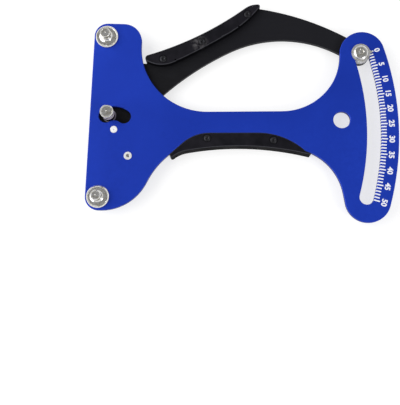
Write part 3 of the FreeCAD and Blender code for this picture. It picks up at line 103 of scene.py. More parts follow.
class Look:
    """A Principled material and short calls for the nodes that feed it."""

    def __init__(self, name, **sockets):
        self.material = bpy.data.materials.new(name)
        self.material.use_nodes = True
        self.tree = self.material.node_tree
        self.tree.nodes.clear()
        self.output = self.tree.nodes.new("ShaderNodeOutputMaterial")
        self.shader = self.tree.nodes.new("ShaderNodeBsdfPrincipled")
        self.link(self.shader.outputs["BSDF"], self.output.inputs["Surface"])
        for socket, value in sockets.items():
            self.shader.inputs[socket.replace("_", " ")].default_value = value

    def link(self, source, target):
        self.tree.links.new(source, target)

    def feed(self, socket, value):
        """Puts a constant or the output of another node into a socket."""
        if isinstance(value, bpy.types.NodeSocket):
            self.link(value, socket)
        else:
            socket.default_value = value

    def node(self, kind, inputs=None, **settings):
        made = self.tree.nodes.new(kind)
        for name, value in settings.items():
            setattr(made, name, value)
        for name, value in (inputs or {}).items():
            self.feed(made.inputs[name], value)
        return made

    def place(self):
        """The point on the piece in the frame's metres."""
        return self.node("ShaderNodeTexCoord").outputs["Object"]

    def stretched(self, scale):
        """The place with its axes scaled, for a texture that runs along one of them."""
        return self.node(
            "ShaderNodeMapping", {"Vector": self.place(), "Scale": scale}
        ).outputs["Vector"]

    def upright(self):
        """How far the piece's own surface faces up: 1 on a face, 0 on a wall."""
        normal = self.node("ShaderNodeTexCoord").outputs["Normal"]
        level = self.node("ShaderNodeSeparateXYZ", {0: normal}).outputs["Z"]
        return self.maths("ABSOLUTE", level)

    def maths(self, operation, first, second=0.0):
        return self.node("ShaderNodeMath", {0: first, 1: second}, operation=operation).outputs[0]

    def noise(self, per_metre, detail=2.0, roughness=0.5, vector=None):
        return self.node("ShaderNodeTexNoise", {
            "Vector": vector or self.place(), "Scale": per_metre, "Detail": detail,
            "Roughness": roughness,
        }).outputs["Fac"]

    def spread(self, value, low, high, start=0.3, end=0.7):
        """A texture's middle range spread from low to high."""
        return self.node("ShaderNodeMapRange", {
            "Value": value, "From Min": start, "From Max": end, "To Min": low, "To Max": high,
        }).outputs["Result"]

    def from_axis(self, x, y):
        """Distance in metres from the upright axis through a place on the tool."""
        offset = self.node(
            "ShaderNodeVectorMath", {0: self.place(), 1: at(x, y, 0)}, operation="SUBTRACT"
        ).outputs[0]
        flat = self.node(
            "ShaderNodeVectorMath", {0: offset, 1: (1, 1, 0)}, operation="MULTIPLY"
        ).outputs[0]
        return self.node("ShaderNodeVectorMath", {0: flat}, operation="LENGTH").outputs["Value"]

    def near(self, x, y, reach):
        """1 at a place on the tool, falling to 0 at the reach."""
        return self.spread(self.from_axis(x, y), 1.0, 0.0, start=0.0, end=reach * MM)

    def on_wall(self, end):
        """1 on an upright wall, falling to 0 on a surface that faces up as far as end."""
        return self.spread(self.upright(), 1.0, 0.0, start=0.05, end=end)

    def on_edge(self):
        """1 on a broken or rounded edge, 0 on the faces and walls beside it."""
        facing = self.upright()
        return self.maths(
            "MULTIPLY",
            self.spread(facing, 0.0, 1.0, start=0.35, end=0.55),
            self.spread(facing, 1.0, 0.0, start=0.85, end=0.97),
        )

    def mix(self, factor, first, second):
        made = self.node("ShaderNodeMix", data_type="RGBA")
        self.feed(made.inputs["Factor"], factor)
        self.feed(made.inputs["A"], first)
        self.feed(made.inputs["B"], second)
        return made.outputs["Result"]

    def bump(self, height, distance, strength=1.0):
        """Relief on the surface, in millimetres; several calls lie on top of each other."""
        made = self.node("ShaderNodeBump", {
            "Height": height, "Distance": distance * MM, "Strength": strength,
        })
        before = self.shader.inputs["Normal"]
        if before.is_linked:
            self.link(before.links[0].from_socket, made.inputs["Normal"])
        self.link(made.outputs["Normal"], before)

    def colour(self, value):
        self.feed(self.shader.inputs["Base Color"], value)

    def rough(self, value):
        self.feed(self.shader.inputs["Roughness"], value)


def rgb(red, green, blue):
    """A colour written as 8-bit screen values."""
    def linear(value):
        value /= 255
        return value / 12.92 if value <= 0.04045 else ((value + 0.055) / 1.055) ** 2.4
    return (linear(red), linear(green), linear(blue), 1.0)


# Colours as a screen shows them
PLATE_BLUE = rgb(20, 52, 166)
PLATE_PALE = rgb(29, 64, 190)
PLATE_CLOUD = rgb(24, 57, 178)
PLATE_WORN = rgb(50, 78, 190)
# Walls of the plate, darker than its face: painted shade
PLATE_WALL_SHADE_DARK = rgb(14, 28, 104)
PLATE_WALL_SHADE_PALE = rgb(24, 44, 142)
# Lever: darker near the pivot as painted shade, paler far from it as painted sheen
LEVER_FAR_SHEEN = rgb(26, 26, 31)
LEVER_NEAR_SHADE = rgb(9, 9, 10)
LEVER_DULL = rgb(14, 14, 17)
LEVER_RUBBED = rgb(30, 30, 35)
GRIP_DARK = rgb(20, 20, 24)
GRIP_HANDLED = rgb(33, 32, 37)
GRIP_SCUFF = rgb(98, 96, 98)
# Painted shade on the grips' walls
GRIP_WALL_SHADE = rgb(8, 8, 10)
# Painted highlight along the grips' edges
GRIP_EDGE_HIGHLIGHT = rgb(82, 82, 88)
OXIDE_DARK = rgb(28, 28, 31)
OXIDE_PALE = rgb(56, 56, 60)
WIRE_DARK = rgb(120, 120, 124)
WIRE_BRIGHT = rgb(176, 176, 180)
INK_GREY = rgb(226, 229, 240)
INK_WHITE = rgb(248, 249, 254)
STEEL = rgb(242, 242, 241)
PALE_STEEL = rgb(250, 250, 252)
# Painted shade for steel that stands inside the plate's slot
SLOT_SHADE = rgb(166, 160, 176)
TARNISH = rgb(176, 168, 140)
BRASS = rgb(196, 168, 108)

# Grains and mottles, in spots per metre
PLATE_DRIFT = 16
PLATE_CLOUDS = 420
PLATE_BLASTING = 2400
PLATE_WEAR = 900
COATING_GRAIN = 3000
COATING_DRIFT = 22
MOULD_GRAIN = 2000
HANDLING = 130
SCUFFS = 330
SMUDGES = 420
TARNISH_SPOTS = 650
OXIDE_MOTTLE = 1500
INK_GRAIN = 2600

# Streaks, in spots per metre along each axis
MILLING = (60.0, 60.0, 9000.0)
RUBBING = (90, 700, 90)
DRAWING = (1500.0, 1500.0, 6000.0)

# Roughness of steel, and what its lathe rings and smudges add
POLISHED = 0.1
TURNED = 0.26
SATIN = 0.42
RING_ROUGHNESS = 0.05
SMUDGE_ROUGHNESS = 0.06

# How much tarnish covers polished steel, and how dark the steel is between its rings
POLISHED_TARNISH = 0.6
RING_SHADE = 0.82

# Widths and places of what changes over a piece, in millimetres
RING_WIDTH = 0.12
SLOT_SHADE_FADE = 1.0
SCUFF_PLACE = (56.0, 62.5)
SCUFF_REACH = 7.0
LEVER_SHEEN_REACH = 130.0


def anodised_plate():
    """Blue anodising on a bead-blasted face, lighter on the broken edges, milled on the walls,
    which are painted darker than the face as painted shade.
    """
    look = Look("anodised_blue", Metallic=0.45, IOR=1.5, Specular_IOR_Level=0.2)
    drift = look.spread(look.noise(PLATE_DRIFT, detail=4), 0.0, 1.0)
    cloud = look.spread(look.noise(PLATE_CLOUDS, detail=3), 0.0, 0.6)
    face = look.mix(cloud, look.mix(drift, PLATE_BLUE, PLATE_PALE), PLATE_CLOUD)
    worn = look.maths(
        "MULTIPLY", look.on_edge(), look.spread(look.noise(PLATE_WEAR, detail=3), 0.1, 0.7)
    )
    wall = look.on_wall(0.3)
    milled = look.noise(1.0, detail=2, vector=look.stretched(MILLING))
    # Painted shade: the walls take a darker blue than the face, streaked by the milling
    walls = look.mix(look.spread(milled, 0.0, 1.0), PLATE_WALL_SHADE_DARK, PLATE_WALL_SHADE_PALE)
    look.colour(look.mix(wall, look.mix(worn, face, PLATE_WORN), walls))
    blasted = look.noise(PLATE_BLASTING, detail=3, roughness=0.6)
    look.rough(look.spread(blasted, 0.4, 0.54))
    look.bump(blasted, distance=0.012, strength=0.35)
    look.bump(look.maths("MULTIPLY", milled, wall), distance=0.02, strength=0.4)
    return look.material


def coated_lever():
    """Black coating on the lever: fine grain, painted shade near the pivot and painted sheen far
    from it, rubbed in streaks.
    """
    look = Look("black_coating", IOR=1.5, Specular_IOR_Level=0.12)
    drift = look.spread(look.noise(COATING_DRIFT, detail=3), 0.0, 1.0)
    streaks = look.noise(1.0, detail=4, vector=look.stretched(RUBBING))
    rubbed = look.maths("MULTIPLY", look.spread(streaks, 0.0, 0.5), drift)
    # Painted shade near the pivot, fading to a painted sheen far from it
    tone = look.mix(look.near(0.0, 0.0, LEVER_SHEEN_REACH), LEVER_FAR_SHEEN, LEVER_NEAR_SHADE)
    tone = look.mix(look.maths("MULTIPLY", drift, 0.3), tone, LEVER_DULL)
    look.colour(look.mix(rubbed, tone, LEVER_RUBBED))
    grain = look.noise(COATING_GRAIN, detail=2)
    look.rough(look.spread(grain, 0.44, 0.6))
    look.bump(grain, distance=0.02, strength=0.4)
    return look.material


def moulded_grip():
    """Grey-black plastic with the grain of an eroded mould, scuffed lighter in one place, with
    painted shade on its walls and a painted highlight along its edges.
    """
    look = Look("moulded_plastic", IOR=1.5, Specular_IOR_Level=0.02)
    handled = look.spread(look.noise(HANDLING, detail=5, roughness=0.6), 0.0, 1.0)
    scuffs = look.spread(
        look.noise(SCUFFS, detail=3, roughness=0.6), 0.0, 1.0, start=0.44, end=0.62
    )
    scuffed = look.maths("MULTIPLY", scuffs, look.near(*SCUFF_PLACE, SCUFF_REACH))
    tone = look.mix(handled, GRIP_DARK, GRIP_HANDLED)
    tone = look.mix(scuffed, tone, GRIP_SCUFF)
    # Painted shade: the walls darker than the faces
    tone = look.mix(look.maths("MULTIPLY", look.on_wall(0.35), 0.75), tone, GRIP_WALL_SHADE)
    # Painted highlight: a paler line along the rounded edges
    tone = look.mix(look.maths("MULTIPLY", look.on_edge(), 0.6), tone, GRIP_EDGE_HIGHLIGHT)
    look.colour(tone)
    look.rough(look.spread(handled, 0.58, 0.72))
    look.bump(look.noise(MOULD_GRAIN, detail=4, roughness=0.65), distance=0.05, strength=0.45)
    return look.material


def turned_metal(
    name, node, colour, rough, metallic=1.0, depth=0.006, tarnished=0.15, shaded_below=None,
):
    """Metal with fine lathe rings round the upright axis of a node, smudges and tarnish, and
    painted shade below a level if one is given.
    """
    look = Look(name, Metallic=metallic)
    height = look.node("ShaderNodeSeparateXYZ", {0: look.place()}).outputs["Z"]
    along = look.maths("ADD", look.from_axis(*centre_of(node)), height)
    rings = look.node("ShaderNodeTexNoise", {
        "W": look.maths("DIVIDE", along, RING_WIDTH * MM), "Scale": 1.0, "Detail": 3.0,
        "Roughness": 0.6,
    }, noise_dimensions="1D").outputs["Fac"]
    shade = tuple(RING_SHADE * part for part in colour[:3]) + (1.0,)
    tone = look.mix(look.spread(rings, 0.0, 1.0), shade, colour)
    spots = look.noise(TARNISH_SPOTS, detail=4)
    tone = look.mix(look.spread(spots, 0.0, tarnished, start=0.42, end=0.66), tone, TARNISH)
    # Painted shade: darker below the given level, where the piece stands in the plate's slot
    if shaded_below:
        unshaded = look.spread(
            height, 0.0, 1.0, start=shaded_below * MM, end=(shaded_below + SLOT_SHADE_FADE) * MM
        )
        tone = look.mix(unshaded, SLOT_SHADE, tone)
    look.colour(tone)
    smudge = look.spread(look.noise(SMUDGES, detail=3), 0.0, 1.0)
    look.rough(look.maths(
        "ADD", look.spread(rings, rough - RING_ROUGHNESS, rough + RING_ROUGHNESS),
        look.maths("MULTIPLY", smudge, SMUDGE_ROUGHNESS),
    ))
    look.bump(rings, distance=depth, strength=0.5)
    return look.material


def black_oxide():
    """Blackened steel, mottled where the oil has dried."""
    look = Look("black_oxide", Metallic=0.8)
    mottle = look.spread(look.noise(OXIDE_MOTTLE, detail=4), 0.0, 1.0)
    look.colour(look.mix(mottle, OXIDE_DARK, OXIDE_PALE))
    look.rough(look.maths("ADD", look.maths("MULTIPLY", mottle, 0.16), 0.34))
    look.bump(mottle, distance=0.01, strength=0.3)
    return look.material


def drawn_wire():
    """Spring wire, with the streaks of the drawing die."""
    look = Look("drawn_wire", Metallic=1.0)
    streaks = look.noise(1.0, detail=3, vector=look.stretched(DRAWING))
    look.colour(look.mix(look.spread(streaks, 0.0, 1.0), WIRE_DARK, WIRE_BRIGHT))
    look.rough(look.spread(streaks, 0.26, 0.42))
    look.bump(streaks, distance=0.008, strength=0.4)
    return look.material


def white_print():
    """White ink of the scale, a little uneven where it takes the grain of the plate."""
    look = Look("white_ink", IOR=1.45, Specular_IOR_Level=0.3)
    grain = look.noise(INK_GRAIN, detail=3)
    look.colour(look.mix(look.spread(grain, 0.0, 1.0), INK_GREY, INK_WHITE))
    look.rough(look.spread(grain, 0.5, 0.65))
    look.bump(grain, distance=0.01, strength=0.3)
    return look.material


def wear(node, material):
    """Gives a node one material in place of those it has."""
    mesh = nodes[node].data
    mesh.materials.clear()
    mesh.materials.append(material)


oxide = black_oxide()
wire = drawn_wire()
ink = white_print()
grip = moulded_grip()
wear("body_plate", anodised_plate())
wear("lever", coated_lever())
for node in ("lever_grip_front", "lever_grip_rear", "frame_grip_front", "frame_grip_rear"):
    wear(node, grip)
wear("pivot_clip", wire)
washer_steel = turned_metal(
    "turned_washer", "pointer_washer", STEEL, TURNED, metallic=0.8, tarnished=0.5
)
wear("pointer_washer", washer_steel)
for node in ("moving_post_screw", "pivot_washer", "post_screws"):
    wear(node, turned_metal(f"plated_{node}", node, STEEL, SATIN))
wear("spring_eyelet", turned_metal("dull_eyelet", "spring_eyelet", STEEL, SATIN, metallic=0.5))
for node in ("pivot_pin", "pointer_bush", "rear_pointer_washer"):
    wear(node, turned_metal(f"bright_{node}", node, PALE_STEEL, SATIN, metallic=0.15))
wear("lever_bush", turned_metal("turned_brass", "lever_bush", BRASS, TURNED))


# ---------------------------------------------------------------- pieces in mesh code

SEGMENTS = 48
SHARP_ANGLE = math.radians(32)


def new_piece(name, points, faces, material, smooth=True):
    """A piece from points in metres, its edges sharp where faces meet at an angle."""
    mesh = bpy.data.meshes.new(name)
    mesh.from_pydata([tuple(point) for point in points], [], faces)
    mesh.update()
    mesh.polygons.foreach_set("use_smooth", [smooth] * len(mesh.polygons))
    if smooth:
        mesh.set_sharp_from_angle(angle=SHARP_ANGLE)
    mesh.materials.append(material)
    piece = add_object(name, mesh)
    return piece


def joined_rings(count, sides, ring_shaped=False):
    """Faces between rings of points, each joined to the next, with a cap at both ends.

    A ring-shaped piece has no caps: its last ring is joined to its first.
    """
    joined = list(range(count)) + ([0] if ring_shaped else [])
    faces = []
    for lower, upper in zip(joined, joined[1:]):
        for side in range(sides):
            following = (side + 1) % sides
            faces.append((
                lower * sides + side, lower * sides + following,
                upper * sides + following, upper * sides + side,
            ))
    if not ring_shaped:
        faces.append(tuple(reversed(range(sides))))
        faces.append(tuple(range((count - 1) * sides, count * sides)))
    return faces


def hexagon_corner(flat):
    """Distance from the centre of a hexagon to its corners, its flats at a distance flat."""
    return flat / math.cos(math.pi / 6)


def hexagon_reach(flat, angle):
    """Distance from the centre of a hexagon to its side in the direction of an angle."""
    sector = math.pi / 3
    return flat / math.cos(angle % sector - sector / 2)


def turned_piece(name, x, y, rings, material, slot, ring_shaped=False):
    """A piece turned round an upright axis from rings of (radius, level) or (radius, level, flat).

    A ring with a flat is cut to a hexagon. The rings run from the rear, outside, to the front
    and into the socket; a ring-shaped piece comes back to its first ring through its bore.
    """
    points = []
    for ring in rings:
        radius, level = ring[:2]
        for step in range(SEGMENTS):
            angle = 2 * math.pi * step / SEGMENTS
            reach = min(radius, hexagon_reach(ring[2], angle)) if len(ring) > 2 else radius
            points.append(at(x + reach * math.cos(angle), y + reach * math.sin(angle), level))
    faces = joined_rings(len(rings), SEGMENTS, ring_shaped)
    return new_piece(name, points, faces, material)


DOME_POWER = 2.5
DOME_STEPS = 9
SOCKET_BEVEL = 0.14
EDGE_ROUND = 0.12


def socket_head(radius, base, height, edge, flat, depth):
    """Rings of a dome head: underside, upright edge, dome, and a hexagon socket in its top."""
    rim = hexagon_corner(flat) + SOCKET_BEVEL
    rise = height - edge
    rings = [(radius - EDGE_ROUND, base), (radius, base + EDGE_ROUND), (radius, base + edge)]
    for step in range(1, DOME_STEPS + 1):
        turn = step / DOME_STEPS
        reach = radius + (rim - radius) * (1 - math.cos(turn * math.pi / 2))
        share = (1 - (reach / radius) ** DOME_POWER) ** (1 / DOME_POWER)
        rings.append((reach, base + edge + rise * share))
    top = rings[-1][1]
    rings += [
        (rim, top - SOCKET_BEVEL, flat), (rim, top - depth, flat),
        (flat / 2, top - depth - flat / 4),
    ]
    return rings


POINTER_SHANK = 2.0
POINTER_HEAD = 5.0
POINTER_HEAD_HEIGHT = 2.3
POINTER_HEAD_EDGE = 0.5
POINTER_SOCKET = 1.5
POINTER_SOCKET_DEPTH = 1.3
THREAD_PITCH = 0.7
THREAD_DEPTH = 0.35
THREAD_LENGTH = 3.2
END_BEVEL = 0.4


def make_pointer_screw():
    """Polished dome screw: threaded end behind the nut, plain shank, dome with a hexagon socket."""
    end, top = levels_of("pointer_screw")
    base = top - POINTER_HEAD_HEIGHT
    root = POINTER_SHANK - THREAD_DEPTH
    rings = [(POINTER_SHANK - END_BEVEL, end), (root, end + THREAD_PITCH / 4)]
    # The first root lies a quarter of a pitch up, so the first crest lies three quarters up
    for turn in range(int(THREAD_LENGTH / THREAD_PITCH)):
        crest = end + (turn + 0.75) * THREAD_PITCH
        rings += [(POINTER_SHANK, crest), (root, crest + THREAD_PITCH / 2)]
    rings += [(POINTER_SHANK, rings[-1][1] + THREAD_DEPTH), (POINTER_SHANK, base)]
    rings += socket_head(
        POINTER_HEAD, base, POINTER_HEAD_HEIGHT, POINTER_HEAD_EDGE, POINTER_SOCKET,
        POINTER_SOCKET_DEPTH,
    )
    polished = turned_metal(
        "polished_dome", "pointer_screw", STEEL, POLISHED, depth=0.002,
        tarnished=POLISHED_TARNISH,
    )
    screw = turned_piece("pointer_dome_screw", *pointer, rings, polished, "turned_steel")
    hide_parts("pointer_screw")
    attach(screw, "lever")


NUT_FLAT = 3.5
NUT_BEVEL = 0.55


def make_pointer_nut():
    """Hexagon nut with its corners turned to a bevel on both faces, and a bevelled bore."""
    rear, front = levels_of("pointer_nut")
    corner = hexagon_corner(NUT_FLAT)
    face = NUT_FLAT - EDGE_ROUND
    bore = POINTER_SHANK
    rings = [
        (bore, front - END_BEVEL), (bore, rear + END_BEVEL), (bore + END_BEVEL, rear),
        (face, rear), (corner, rear + NUT_BEVEL, NUT_FLAT), (corner, front - NUT_BEVEL, NUT_FLAT),
        (face, front), (bore + END_BEVEL, front),
    ]
    plated = turned_metal("plated_nut", "pointer_nut", STEEL, SATIN)
    nut = turned_piece(
        "pointer_lock_nut", *pointer, rings, plated, "turned_steel", ring_shaped=True
    )
    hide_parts("pointer_nut")
    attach(nut, "lever")


QUARTER_STEPS = 6


def quarter(centre_radius, centre_level, radius, start, end):
    """Rings along a quarter of a circle, its start and end in quarter turns from outwards."""
    rings = []
    for step in range(QUARTER_STEPS + 1):
        turn = math.pi / 2 * (start + (end - start) * step / QUARTER_STEPS)
        rings.append((
            centre_radius + radius * math.cos(turn), centre_level + radius * math.sin(turn),
        ))
    return rings


POST_BORE = 2.1
RIM_BEVEL = 0.7
RIM_INNER_ROUND = 0.3
RIM_WIDTH = 0.85
FLANGE_RADIUS = 7.7
FLANGE_HEIGHT = 1.8
FLANGE_DISH = 0.35
DISH_RADIUS = 5.2
FIXED_BORE_DEPTH = 4.0
NECK_RADIUS = 2.7
NECK_HEIGHT = 5.0
FLARE_HEIGHT = 1.1
HEAD_RADIUS = 3.45
HEAD_BEVEL = 0.4
HEAD_RIM = 0.75
HEAD_RECESS = 0.15
LATHE_CENTRE = 0.45


def recessed_top(radius, top, rim, recess):
    """Rings of a post's end: bevel, narrow rim, shallow recess with a lathe centre."""
    return [
        (radius, top - HEAD_BEVEL), (radius - HEAD_BEVEL, top),
        (radius - rim, top), (radius - rim - recess, top - recess),
        (LATHE_CENTRE, top - recess), (LATHE_CENTRE / 3, top - recess - LATHE_CENTRE / 2),
    ]


def make_fixed_post(node):
    """Polished post on the plate: flange with a bevelled rim and a dish, sweep, neck, head."""
    base, top = levels_of(node)
    face = base + FLANGE_HEIGHT
    dish = face - FLANGE_DISH
    inner = FLANGE_RADIUS - RIM_WIDTH
    sweep = DISH_RADIUS - NECK_RADIUS
    rings = [
        (POST_BORE, base + FIXED_BORE_DEPTH), (POST_BORE, base),
        (FLANGE_RADIUS - EDGE_ROUND, base), (FLANGE_RADIUS, base + EDGE_ROUND),
        (FLANGE_RADIUS, face - RIM_BEVEL), (FLANGE_RADIUS - RIM_BEVEL, face),
    ]
    rings += quarter(inner, face - RIM_INNER_ROUND, RIM_INNER_ROUND, 1, 2)
    rings.append((inner - RIM_INNER_ROUND, dish))
    rings += quarter(DISH_RADIUS, dish + sweep, sweep, 3, 2)
    rings += [
        (NECK_RADIUS, base + NECK_HEIGHT), (HEAD_RADIUS, base + NECK_HEIGHT + FLARE_HEIGHT),
    ]
    rings += recessed_top(HEAD_RADIUS, top, HEAD_RIM, HEAD_RECESS)
    polished = turned_metal(
        f"polished_{node}", node, STEEL, POLISHED, depth=0.003, tarnished=POLISHED_TARNISH
    )
    post = turned_piece(f"turned_{node}", *centre_of(node), rings, polished, "turned_steel")
    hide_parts(node)
    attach(post, "frame")


COLLAR_RADIUS = 4.6
COLLAR_HEIGHT = 0.7
BARREL_RADIUS = 4.2
BARREL_TOP = 2.4
BARREL_BREAK = 0.3
MOVING_NECK_RADIUS = 2.6
CAP_RADIUS = 4.5
CAP_THICKNESS = 1.3
CAP_RIM = 0.7
CAP_RECESS = 0.25
MOVING_BORE_DEPTH = 5.0


def make_moving_post():
    """The post on the lever: collar, barrel painted darker inside the slot as painted shade, neck,
    cap with a rim.
    """
    base, top = levels_of("moving_post")
    collar = base + COLLAR_HEIGHT
    barrel = plate_face + BARREL_TOP
    cap = top - CAP_THICKNESS
    rings = [
        (POST_BORE, base + MOVING_BORE_DEPTH), (POST_BORE, base), (COLLAR_RADIUS, base),
        (COLLAR_RADIUS, collar), (BARREL_RADIUS, collar), (BARREL_RADIUS, barrel - BARREL_BREAK),
        (BARREL_RADIUS - BARREL_BREAK, barrel), (MOVING_NECK_RADIUS, barrel + BARREL_BREAK),
        (MOVING_NECK_RADIUS, cap - CAP_RADIUS + MOVING_NECK_RADIUS), (CAP_RADIUS, cap),
    ] + recessed_top(CAP_RADIUS, top, CAP_RIM, CAP_RECESS)
    polished = turned_metal(
        "polished_moving_post", "moving_post", STEEL, POLISHED, depth=0.003,
        tarnished=POLISHED_TARNISH, shaded_below=barrel,
    )
    post = turned_piece(
        "turned_moving_post", *centre_of("moving_post"), rings, polished, "turned_steel"
    )
    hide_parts("moving_post")
    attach(post, "lever")


GRIP_SCREW_SHANK = 1.5
GRIP_SCREW_HEAD = 2.4
GRIP_SCREW_HEAD_HEIGHT = 1.2
GRIP_SCREW_HEAD_EDGE = 0.25
GRIP_SCREW_SOCKET = 1.0
GRIP_SCREW_SOCKET_DEPTH = 0.8

# Places of the screws, by the body that their grip is on
GRIP_SCREWS = {
    "lever": ((31.5, 50.5), (58.0, 63.6), (88.5, 84.1)),
    "frame": ((63.9, -4.0), (108.8, -4.0)),
}


def make_grip_screws(body):
    """Black button screws that hold the two halves of a grip together."""
    node = f"{body}_grip_screws"
    end, top = levels_of(node)
    base = top - GRIP_SCREW_HEAD_HEIGHT
    rings = [
        (GRIP_SCREW_SHANK - END_BEVEL, end), (GRIP_SCREW_SHANK, end + END_BEVEL),
        (GRIP_SCREW_SHANK, base),
    ] + socket_head(
        GRIP_SCREW_HEAD, base, GRIP_SCREW_HEAD_HEIGHT, GRIP_SCREW_HEAD_EDGE, GRIP_SCREW_SOCKET,
        GRIP_SCREW_SOCKET_DEPTH,
    )
    for number, (x, y) in enumerate(GRIP_SCREWS[body], start=1):
        screw = turned_piece(f"{body}_grip_screw_{number}", x, y, rings, oxide, "screw_black")
        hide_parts(node)
        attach(screw, body)


# Return spring, from the eyelet in the plate to its hole in the lever
WIRE_RADIUS = 0.6
WIRE_SIDES = 16
COIL_RADIUS = 5.2
COIL_PITCH = 1.4
COIL_PLAY = 0.05
COIL_STEPS = 40
LEVER_HOLE_RADIUS = 14.0
LEVER_HOLE_ANGLE = math.radians(38)
LEG_BEND = 0.8
BEND_STEPS = 6
SPRING_END = 0.3


def leg(start, hole, top):
    """Points of a leg: level from the coil, then a bend up into its hole."""
    corner = Vector((hole[0], hole[1], start.z))
    heading = (corner - start).normalized()
    points = []
    for step in range(BEND_STEPS + 1):
        turn = step / BEND_STEPS * math.pi / 2
        along = heading * (LEG_BEND * (math.sin(turn) - 1))
        points.append(corner + along + Vector((0, 0, LEG_BEND * (1 - math.cos(turn)))))
    points.append(Vector((hole[0], hole[1], top)))
    return points


def spring_path():
    """Points along the wire, from the eyelet round the coil to the lever's hole."""
    fixed = centre_of("spring_eyelet")
    moving = (
        LEVER_HOLE_RADIUS * math.cos(LEVER_HOLE_ANGLE),
        LEVER_HOLE_RADIUS * math.sin(LEVER_HOLE_ANGLE),
    )
    first = math.atan2(fixed[1], fixed[0]) - math.acos(COIL_RADIUS / math.hypot(*fixed))
    last = LEVER_HOLE_ANGLE + math.acos(COIL_RADIUS / LEVER_HOLE_RADIUS)
    sweep = (first - last) % (2 * math.pi) + 2 * math.pi
    rise = COIL_PITCH * sweep / (2 * math.pi)
    lowest = lever_rear - COIL_PLAY - WIRE_RADIUS - rise
    count = math.ceil(COIL_STEPS * sweep / (2 * math.pi))
    coil = []
    for step in range(count + 1):
        angle = first - sweep * step / count
        coil.append(Vector((
            COIL_RADIUS * math.cos(angle), COIL_RADIUS * math.sin(angle),
            lowest + rise * step / count,
        )))
    fixed_leg = leg(coil[0], fixed, plate_face - SPRING_END)
    moving_leg = leg(coil[-1], moving, lever_face - SPRING_END)
    return fixed_leg[::-1] + coil + moving_leg


def make_spring():
    """Round wire swept along its path."""
    path = spring_path()
    points = []
    across = Vector((1, 0, 0))
    for number, place in enumerate(path):
        before = path[max(number - 1, 0)]
        after = path[min(number + 1, len(path) - 1)]
        heading = (after - before).normalized()
        across = (across - heading * across.dot(heading)).normalized()
        upward = heading.cross(across)
        for side in range(WIRE_SIDES):
            angle = 2 * math.pi * side / WIRE_SIDES
            spoke = across * math.cos(angle) + upward * math.sin(angle)
            points.append(at(*(place + spoke * WIRE_RADIUS)))
    faces = joined_rings(len(path), WIRE_SIDES)
    spring = new_piece("torsion_spring", points, faces, wire)
    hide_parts("return_spring")
    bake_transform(spring)


make_fixed_post("upper_post")
make_fixed_post("lower_post")
make_moving_post()
make_pointer_screw()
make_pointer_nut()
for body in GRIP_SCREWS:
    make_grip_screws(body)
make_spring()


# ---------------------------------------------------------------- scale

# Marks run up the slot's outer wall, over its broken edge and outwards on the face
SLOT_HALF_WIDTH = 4.85
CHAMFER = 0.35
DIVISIONS = 50
NUMBER_STEP = 5
MARK_LENGTH = 3.25
LONG_MARK_EXTRA = 0.75
MARK_SHARE = 0.44
INK_HEIGHT = 0.02
WALL_INK = 0.07
ZERO_OFFSET = 0.35
FIRST_DIVISION = 0.625
DIVISION_GROWTH = 0.0005
NUMBER_RADIUS = 187.4
NUMBER_GROWTH = 0.009
NUMBER_HEIGHT = 3.5
NUMBER_WIDTH_SHARE = 0.98
NUMBER_WEIGHT = 0.17
DIGIT_HEIGHT_SHARE = 0.7


def scale_angle(reading):
    """Clockwise from the pointer at rest; the divisions widen a little towards 50."""
    turned = ZERO_OFFSET + FIRST_DIVISION * reading + DIVISION_GROWTH * reading ** 2
    return zero_angle - math.radians(turned)


def on_scale(reach, angle, level):
    """A place at a distance from the pivot, in the direction of an angle."""
    return at(reach * math.cos(angle), reach * math.sin(angle), level)


def make_marks():
    """All marks of the scale in one piece, a strip of ink each, every fifth one longer."""
    points = []
    faces = []
    half = math.radians(FIRST_DIVISION) * MARK_SHARE / 2
    edge = scale_radius + SLOT_HALF_WIDTH
    for reading in range(DIVISIONS + 1):
        length = MARK_LENGTH + (LONG_MARK_EXTRA if reading % NUMBER_STEP == 0 else 0)
        profile = (
            (edge - WALL_INK, plate_rear + CHAMFER),
            (edge - WALL_INK, plate_face - CHAMFER),
            (edge + CHAMFER - WALL_INK, plate_face + INK_HEIGHT),
            (edge + length, plate_face + INK_HEIGHT),
        )
        first = len(points)
        for reach, level in profile:
            for side in (-half, half):
                angle = scale_angle(reading) + side * edge / reach
                points.append(on_scale(reach, angle, level))
        for corner in range(first, len(points) - 2, 2):
            faces.append((corner, corner + 2, corner + 3, corner + 1))
    marks = new_piece("scale_marks", points, faces, ink, smooth=False)
    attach(marks, "frame")


def make_number(reading):
    """One number of the scale, its top outwards, as a thin raised print."""
    curve = bpy.data.curves.new(f"digits_{reading}", "FONT")
    curve.body = str(reading)
    curve.align_x = "CENTER"
    curve.align_y = "CENTER"
    curve.size = NUMBER_HEIGHT * MM / DIGIT_HEIGHT_SHARE
    curve.offset = NUMBER_WEIGHT * MM
    curve.extrude = INK_HEIGHT * MM
    text = add_object(f"digits_{reading}", curve)
    bpy.context.view_layer.update()
    mesh = bpy.data.meshes.new_from_object(text)
    bpy.data.objects.remove(text)
    angle = scale_angle(reading)
    radius = NUMBER_RADIUS + NUMBER_GROWTH * reading
    mesh.transform(
        Matrix.Translation(on_scale(radius, angle, plate_face))
        @ Matrix.Rotation(angle - math.pi / 2, 4, "Z")
        @ Matrix.Diagonal((NUMBER_WIDTH_SHARE, 1.0, 1.0, 1.0))
    )
    mesh.materials.clear()
    mesh.materials.append(ink)
    number = add_object(f"scale_number_{reading}", mesh)
    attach(number, "frame")


make_marks()
for reading in range(0, DIVISIONS + 1, NUMBER_STEP):
    make_number(reading)


# ---------------------------------------------------------------- floor, light and camera

